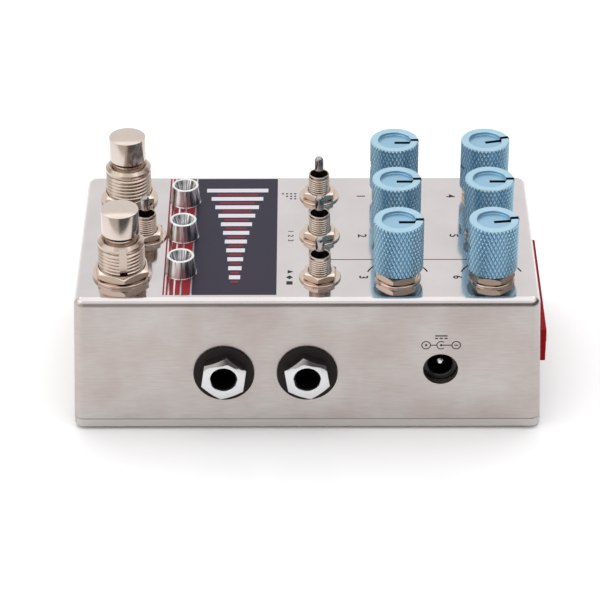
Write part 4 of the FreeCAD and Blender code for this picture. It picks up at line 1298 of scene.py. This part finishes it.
class PEDAL_OT_slide_switches(bpy.types.Operator):
    """Model the two blocks of slide switches and their sixteen sliders"""

    bl_idname = "pedal.slide_switches"
    bl_label = "Slide switches"

    def execute(self, context):
        low, high = bank_box()
        legs_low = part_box("dip_housings")[0].z
        gap = 0.05 * MM
        left = block("bank", low, (-gap, high.y, high.z))
        right = block("bank", (gap, low.y, low.z), high)
        banks = joined("red_switch_blocks", [left, right])
        bevelled(banks, 0.2 * MM)
        face, middle = high.y, (low.z + high.z) / 2
        windows, tracks, legs = [], [], []
        for number in range(1, 17):
            x = centre_of(f"dip_slider_{number}").x
            windows.append(self.slot("window", x, middle, (0.75, 2.15), face - 2.6 * MM, face + THROUGH))
            tracks.append(self.slot("track", x, middle, (1.0, 2.55), face - 2.5 * MM, face - 1.5 * MM))
            foot = (x - 0.25 * MM, low.y + 0.25 * MM, legs_low)
            legs.append(block("leg", foot, (x + 0.25 * MM, low.y + 0.75 * MM, low.z + 0.3 * MM)))
            self.slider(f"dip_slider_{number}", f"white_slider_{number}", face)
        combine(banks, joined("windows", windows))
        combine(banks, joined("tracks", tracks))
        banks = smooth(joined("red_switch_blocks", [banks, *legs]), flat_faces=True)
        dress(banks, "red", ROOT, "red_plastic", "dip_housings")
        return {"FINISHED"}

    def slot(self, name, x, z, halves_mm, back, front):
        """A cutter centred on a slider's place, of half a width and half a height."""
        half_x, half_z = halves_mm[0] * MM, halves_mm[1] * MM
        return block(name, (x - half_x, back, z - half_z), (x + half_x, front, z + half_z))

    def slider(self, node_name, name, face):
        """A slider's nub with rounded edges, on the foot that runs in its track."""
        low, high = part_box(node_name)
        foot_front = face - 1.6 * MM
        x, z = (low.x + high.x) / 2, (low.z + high.z) / 2
        nub = self.slot(name, x, z, (0.65, 0.95), foot_front, high.y)
        combine(nub, block("foot", low, (high.x, foot_front, high.z)), "UNION")
        bevelled(nub, 0.12 * MM)
        dress(smooth(nub), "white", node_name, "white_plastic", node_name)


class PEDAL_OT_inside(bpy.types.Operator):
    """Finish the pieces inside the box that keep their construction shapes"""

    bl_idname = "pedal.inside"
    bl_label = "Inside"

    finishes = {
        "jack_housings": "black",
        "jack_contacts": "brass",
        "toggle_cases": "black",
        "footswitch_cases": "black",
        "pot_housings": "turned",
        "control_board": "mask",
        "main_board": "mask",
        "board_components": "black",
    }

    def execute(self, context):
        shafts = {f"pot_shaft_{column}_{row}": "turned" for column, row in knob_places()}
        for name, finish in {**self.finishes, **shafts}.items():
            mesh = frame["nodes"][name].data
            mesh.materials.clear()
            mesh.materials.append(MATERIALS[finish])
        return {"FINISHED"}


def printed(name, parts, finish, place, lift=0.0):
    """Ink laid by a matrix: flat parts drawn at Z = 0 are joined and thickened, and closed all round."""
    thick = settings("print").thick
    whole = joined(name, parts)
    pick(whole, "FACE", lambda face: True)
    bpy.ops.mesh.extrude_region_move(TRANSFORM_OT_translate={"value": (0, 0, thick)})
    faced_out(whole)
    moved(whole, place @ Matrix.Translation((0, 0, lift - thick / 3)))
    dress(whole, finish, ROOT, "cast_aluminium")


def strip(low, high):
    """A flat rectangle between two (x, y) corners."""
    deselect()
    centre = ((low[0] + high[0]) / 2, (low[1] + high[1]) / 2, 0)
    bpy.ops.mesh.primitive_plane_add(size=1, location=centre)
    bpy.context.object.scale = (high[0] - low[0], high[1] - low[1], 1)
    return newest("strip")


def disc(at, radius, sides=20):
    deselect()
    bpy.ops.mesh.primitive_circle_add(vertices=sides, radius=radius, fill_type="NGON", location=(*at, 0))
    return newest("disc")


def digit(text, at, size):
    """A numeral centred on a place, upright for the player."""
    deselect()
    bpy.ops.object.text_add(location=(0, 0, 0))
    label = bpy.context.object.data
    label.body = text
    label.size = size
    label.align_x = "CENTER"
    label.align_y = "CENTER"
    label.resolution_u = 4
    label.offset = size / 60
    bpy.ops.object.convert(target="MESH")
    piece = moved(newest("digit"), Matrix.Translation((*at, 0)))
    take(piece)
    bpy.ops.object.mode_set(mode="EDIT")
    bpy.ops.mesh.select_all(action="SELECT")
    bpy.ops.mesh.remove_doubles(threshold=WELD / 4)
    return done(piece)


def ring_arc(at, radius, width, start_deg=0, end_deg=360, steps=32):
    """A flat arc of a ring: a short edge spun round a centre."""
    deselect()
    start = math.radians(start_deg)
    out = Vector((math.cos(start), math.sin(start), 0))
    bpy.ops.mesh.primitive_plane_add(size=width, location=(*at, 0))
    piece = bpy.context.object
    bpy.ops.object.mode_set(mode="EDIT")
    bpy.ops.mesh.select_mode(type="VERT")
    bpy.ops.mesh.select_all(action="SELECT")
    bpy.ops.mesh.merge(type="CENTER")
    bpy.ops.transform.translate(value=out * (radius - width / 2))
    bpy.ops.mesh.extrude_region_move(TRANSFORM_OT_translate={"value": out * width})
    bpy.ops.mesh.select_all(action="SELECT")
    turn = math.radians(start_deg - end_deg)
    bpy.ops.mesh.spin(steps=steps, angle=turn, center=(*at, 0), axis=(0, 0, 1))
    bpy.ops.mesh.select_all(action="SELECT")
    bpy.ops.mesh.remove_doubles(threshold=WELD)
    faced_out(piece)
    return newest("arc")


class PEDAL_OT_print(bpy.types.Operator):
    """Lay the screen print: panel, stripes, pulse bars, numerals, scale lines and signs"""

    bl_idname = "pedal.print"
    bl_label = "Screen print"

    dot = 0.32 * MM

    def execute(self, context):
        sizes = settings("print")
        plate = Matrix.Translation((0, 0, PLATE_Z))
        panel = strip((sizes.panel_low, sizes.panel_left), (sizes.panel_high, sizes.panel_right))
        printed("dark_panel", [panel], "dark_ink", plate)
        printed("crimson_stripes", self.stripes(sizes), "crimson_ink", plate)
        pulses, echoes = self.bars(sizes, -23.5, 1.9, 16.5), self.bars(sizes, -21.3, 0.8, 11.0)
        on_panel = sizes.thick * 0.8
        printed("pulse_bars", pulses, "pale_ink", plate, on_panel)
        printed("echo_bars", echoes, "crimson_ink", plate, on_panel)
        printed("scale_marks", self.marks(sizes), "black_ink", plate)
        self.polarity_sign(sizes)
        return {"FINISHED"}

    def stripes(self, sizes):
        """Five stripes that widen towards the panel, an even gap apart."""
        edge = sizes.panel_left - sizes.stripe_gap
        strips = []
        for width in (2.2, 1.25, 0.97, 0.5, 0.4):
            strips.append(strip((sizes.panel_low, edge - width * MM), (sizes.panel_high, edge)))
            edge -= width * MM + sizes.stripe_gap
        return strips

    def bars(self, sizes, first, width, tallest):
        """A train of pulses that dies away along the panel, from sizes in millimetres."""
        count, pitch, decay = 11, 4.4, 0.84
        middle = (sizes.panel_left + sizes.panel_right) / 2
        across = width / 2 * MM
        train = []
        for i in range(count):
            x, half = (first + pitch * i) * MM, tallest * decay**i / 2 * MM
            train.append(strip((x - across, middle - half), (x + across, middle + half)))
        return train

    def marks(self, sizes):
        """Numerals beside the knobs, the dividing line, the scale arcs and the switches' signs."""
        knobs, toggles = knob_places(), toggle_places()
        parts = []
        for number, at in enumerate(knobs.values(), 1):
            parts.append(digit(str(number), (at.x, at.y - sizes.digit_off), sizes.digit))
        start_deg, end_deg = 109, 251
        for column in COLUMNS:
            at = knobs[column, "right"]
            parts.append(ring_arc(at, sizes.arc, sizes.arc_line, start_deg, end_deg))
        low = toggles["right"].y + 2.7 * MM
        high = knobs["rear", "right"].y - 6.0 * MM
        half = sizes.line / 2
        parts.append(strip((sizes.divider - half, low), (sizes.divider + half, high)))
        parts += self.dot_sign(toggles["left"]) + self.count_sign(toggles["middle"])
        return parts + self.wave_sign(toggles["right"])

    def dot_sign(self, at):
        """Rows of four, three and two dots: beats to divide."""
        across, first, step = 1.3, 6.4, 1.1
        return [
            disc((at.x + (row - 1) * across * MM, at.y - (first + step * i) * MM), self.dot, 12)
            for row, count in enumerate((4, 3, 2))
            for i in range(count)
        ]

    def count_sign(self, at):
        """The numerals 1 to 3."""
        low, pitch, size = at.y - 7.6 * MM, 2.3 * MM, 2.0 * MM
        return [digit(str(i + 1), (at.x + (i - 1) * pitch, low), size) for i in range(3)]

    def wave_sign(self, at):
        """A triangle, a diamond and a square for three wave forms."""
        low = at.y - 7.8 * MM
        left, right, half = at.x + 1.9 * MM, at.x + 3.5 * MM, 0.8 * MM
        square = (left, low - half), (right, low + half)
        triangle = disc((at.x - 2.7 * MM, low), 1.0 * MM, 3)
        return [triangle, disc((at.x, low), 0.9 * MM, 4), strip(*square)]

    def polarity_sign(self, sizes):
        """The usual sign for a socket with its minus pole at the pin, above the power inlet."""
        draft = settings("box").draft
        pin = centre_of("dc_socket_pin")
        up = pin.z + sizes.sign_up
        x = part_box("base_plate")[1].x - (up - BASE_TOP) * math.tan(draft)
        place = placed((x, pin.y, up), QUARTER, "Z") @ Matrix.Rotation(QUARTER - draft, 4, "X")
        step, radius, line = sizes.sign_step, sizes.sign_circle, 0.26 * MM
        half, plus, high = line / 2, 0.5 * MM, 1.3 * line
        parts = [ring_arc((side * step, 0), radius, line) for side in (-1, 1)]
        parts.append(ring_arc((0, 0), radius, line, 50, 310))
        for left, right in ((-step + radius, -radius), (0, step - radius)):
            parts.append(strip((left, -half), (right, half)))
        parts += [disc((-step, 0), self.dot), disc((0, 0), self.dot)]
        parts.append(strip((step - plus, -half), (step + plus, half)))
        rise, drop, long = 2.6 * MM, 0.75 * MM, 1.6 * MM
        parts.append(strip((-long, rise), (long, rise + high)))
        pitch, half_dash = 1.2, 0.4
        for i in (-1, 0, 1):
            left, right = (i * pitch - half_dash) * MM, (i * pitch + half_dash) * MM
            parts.append(strip((left, rise - drop), (right, rise - drop + high)))
        printed("polarity_sign", parts, "black_ink", place)


class PEDAL_OT_stage(bpy.types.Operator):
    """Set up the pale floor, the soft lamps and the camera"""

    bl_idname = "pedal.stage"
    bl_label = "Stage"

    def execute(self, context):
        studio = settings("studio")
        scene = bpy.context.scene
        scene.view_settings.view_transform = "Standard"
        self.floor()
        self.lamp("overhead_softbox", (-0.15, 0.0, 0.9), 1.25, studio.key)
        self.lamp("left_softbox", (0.25, -0.9, 0.55), 1.0, studio.key * 0.3)
        self.world(scene)
        deselect()
        bpy.ops.object.camera_add(location=studio.place, rotation=studio.turn)
        camera = bpy.context.object
        camera.name = "camera"
        camera.data.lens = studio.lens
        camera.data.sensor_width = 36
        camera.data.clip_start = 0.01
        camera.data.clip_end = 20
        scene.camera = camera
        return {"FINISHED"}

    def floor(self):
        """A table of white acrylic. It ends on the camera's side, where metal mirrors the dim room."""
        side, middle, drop = 3.0, -1.36, 0.8 * MM
        deselect()
        bpy.ops.mesh.primitive_plane_add(size=1, location=(middle, 0, -drop))
        bpy.context.object.scale = (side, side, 1)
        floor = newest("studio_floor")
        colours = linear("F6F6F6"), linear("F8F8F8")
        acrylic = clouded("white_acrylic_sheet", 200.0, 1.0, colours, None, IOR=1.45, Roughness=0.1)
        floor.data.materials.append(acrylic)

    def lamp(self, name, place, size, power):
        """A square soft lamp that shines at the pedal."""
        deselect()
        bpy.ops.object.light_add(type="AREA", location=place)
        lamp = bpy.context.object
        lamp.name = name
        lamp.data.shape = "SQUARE"
        lamp.data.size = size
        lamp.data.energy = power
        lamp.rotation_euler = Vector(place).to_track_quat("Z", "Y").to_euler()

    def world(self, scene):
        """A pale room, grey only where the overhead lamp hangs. Low down behind the camera it is a dim
        brown, darkest on the right. Only mirrors show it: the camera and dull surfaces see white."""
        world = bpy.data.worlds.new("studio_room")
        scene.world = world
        world.use_nodes = True
        tree = world.node_tree
        tree.nodes.clear()
        white, pale, grey = (1, 1, 1), (0.92, 0.92, 0.92), (0.35, 0.35, 0.35)
        left_brown, right_brown = (0.6, 0.56, 0.53), (0.1, 0.09, 0.085)
        towards = node(tree, "TexCoord", out="Generated")
        x, y, z = node(tree, "SeparateXYZ", {0: towards}, None)
        behind = node(tree, "MapRange", {0: x, 1: -0.75, 2: -0.35})
        low = node(tree, "MapRange", {0: z, 1: 0.7, 2: 0.45})
        dim = node(tree, "Math", {0: behind, 1: low}, operation="MULTIPLY")
        right = node(tree, "MapRange", {0: y, 1: -0.2, 2: 0.05})
        brown = node(tree, "Mix", {0: right, 6: left_brown, 7: right_brown}, 2, data_type="RGBA")
        lean = -0.14
        tilted = node(tree, "Math", {0: x, 1: lean, 2: z}, operation="MULTIPLY_ADD")
        overhead = node(tree, "MapRange", {0: tilted, 1: 0.8, 2: 0.85})
        above = node(tree, "Mix", {0: overhead, 6: pale, 7: grey}, 2, data_type="RGBA")
        room = node(tree, "Mix", {0: dim, 6: above, 7: brown}, 2, data_type="RGBA")
        rays = node(tree, "LightPath", out=None)
        soft = node(tree, "Mix", {0: rays["Is Diffuse Ray"], 6: room, 7: white}, 2, data_type="RGBA")
        seen = node(tree, "Mix", {0: rays["Is Camera Ray"], 6: soft, 7: white}, 2, data_type="RGBA")
        glow = node(tree, "Background", {0: seen, 1: 1.0})
        node(tree, "OutputWorld", {0: glow}, None)


OPERATORS = (
    PEDAL_OT_shell,
    PEDAL_OT_cover,
    PEDAL_OT_knobs,
    PEDAL_OT_control_nuts,
    PEDAL_OT_toggles,
    PEDAL_OT_footswitches,
    PEDAL_OT_lamps,
    PEDAL_OT_jacks,
    PEDAL_OT_inlet,
    PEDAL_OT_slide_switches,
    PEDAL_OT_inside,
    PEDAL_OT_print,
    PEDAL_OT_stage,
)


class PEDAL_PT_sidebar(bpy.types.Panel):
    """Lists the pedal's pieces in the sidebar"""

    bl_label = "Pedal"
    bl_idname = "PEDAL_PT_sidebar"
    bl_space_type = "VIEW_3D"
    bl_region_type = "UI"
    bl_category = "Pedal"

    def draw(self, context):
        for operator in OPERATORS:
            self.layout.operator(operator.bl_idname)
        for name in SETTINGS:
            group = getattr(context.scene, name)
            column = self.layout.column(heading=name)
            for key in group.bl_rna.properties.keys():
                if key not in ("rna_type", "name"):
                    column.prop(group, key)


def register():
    for name, group in SETTINGS.items():
        bpy.utils.register_class(group)
        setattr(bpy.types.Scene, name, bpy.props.PointerProperty(type=group))
    for operator in OPERATORS:
        bpy.utils.register_class(operator)
    bpy.utils.register_class(PEDAL_PT_sidebar)


def unregister():
    bpy.utils.unregister_class(PEDAL_PT_sidebar)
    for operator in reversed(OPERATORS):
        bpy.utils.unregister_class(operator)
    for name, group in SETTINGS.items():
        delattr(bpy.types.Scene, name)
        bpy.utils.unregister_class(group)


def main():
    register()
    MATERIALS.update(make_materials())
    for operator in OPERATORS:
        family, name = operator.bl_idname.split(".")
        getattr(getattr(bpy.ops, family), name)()


if __name__ == "__main__":
    main()
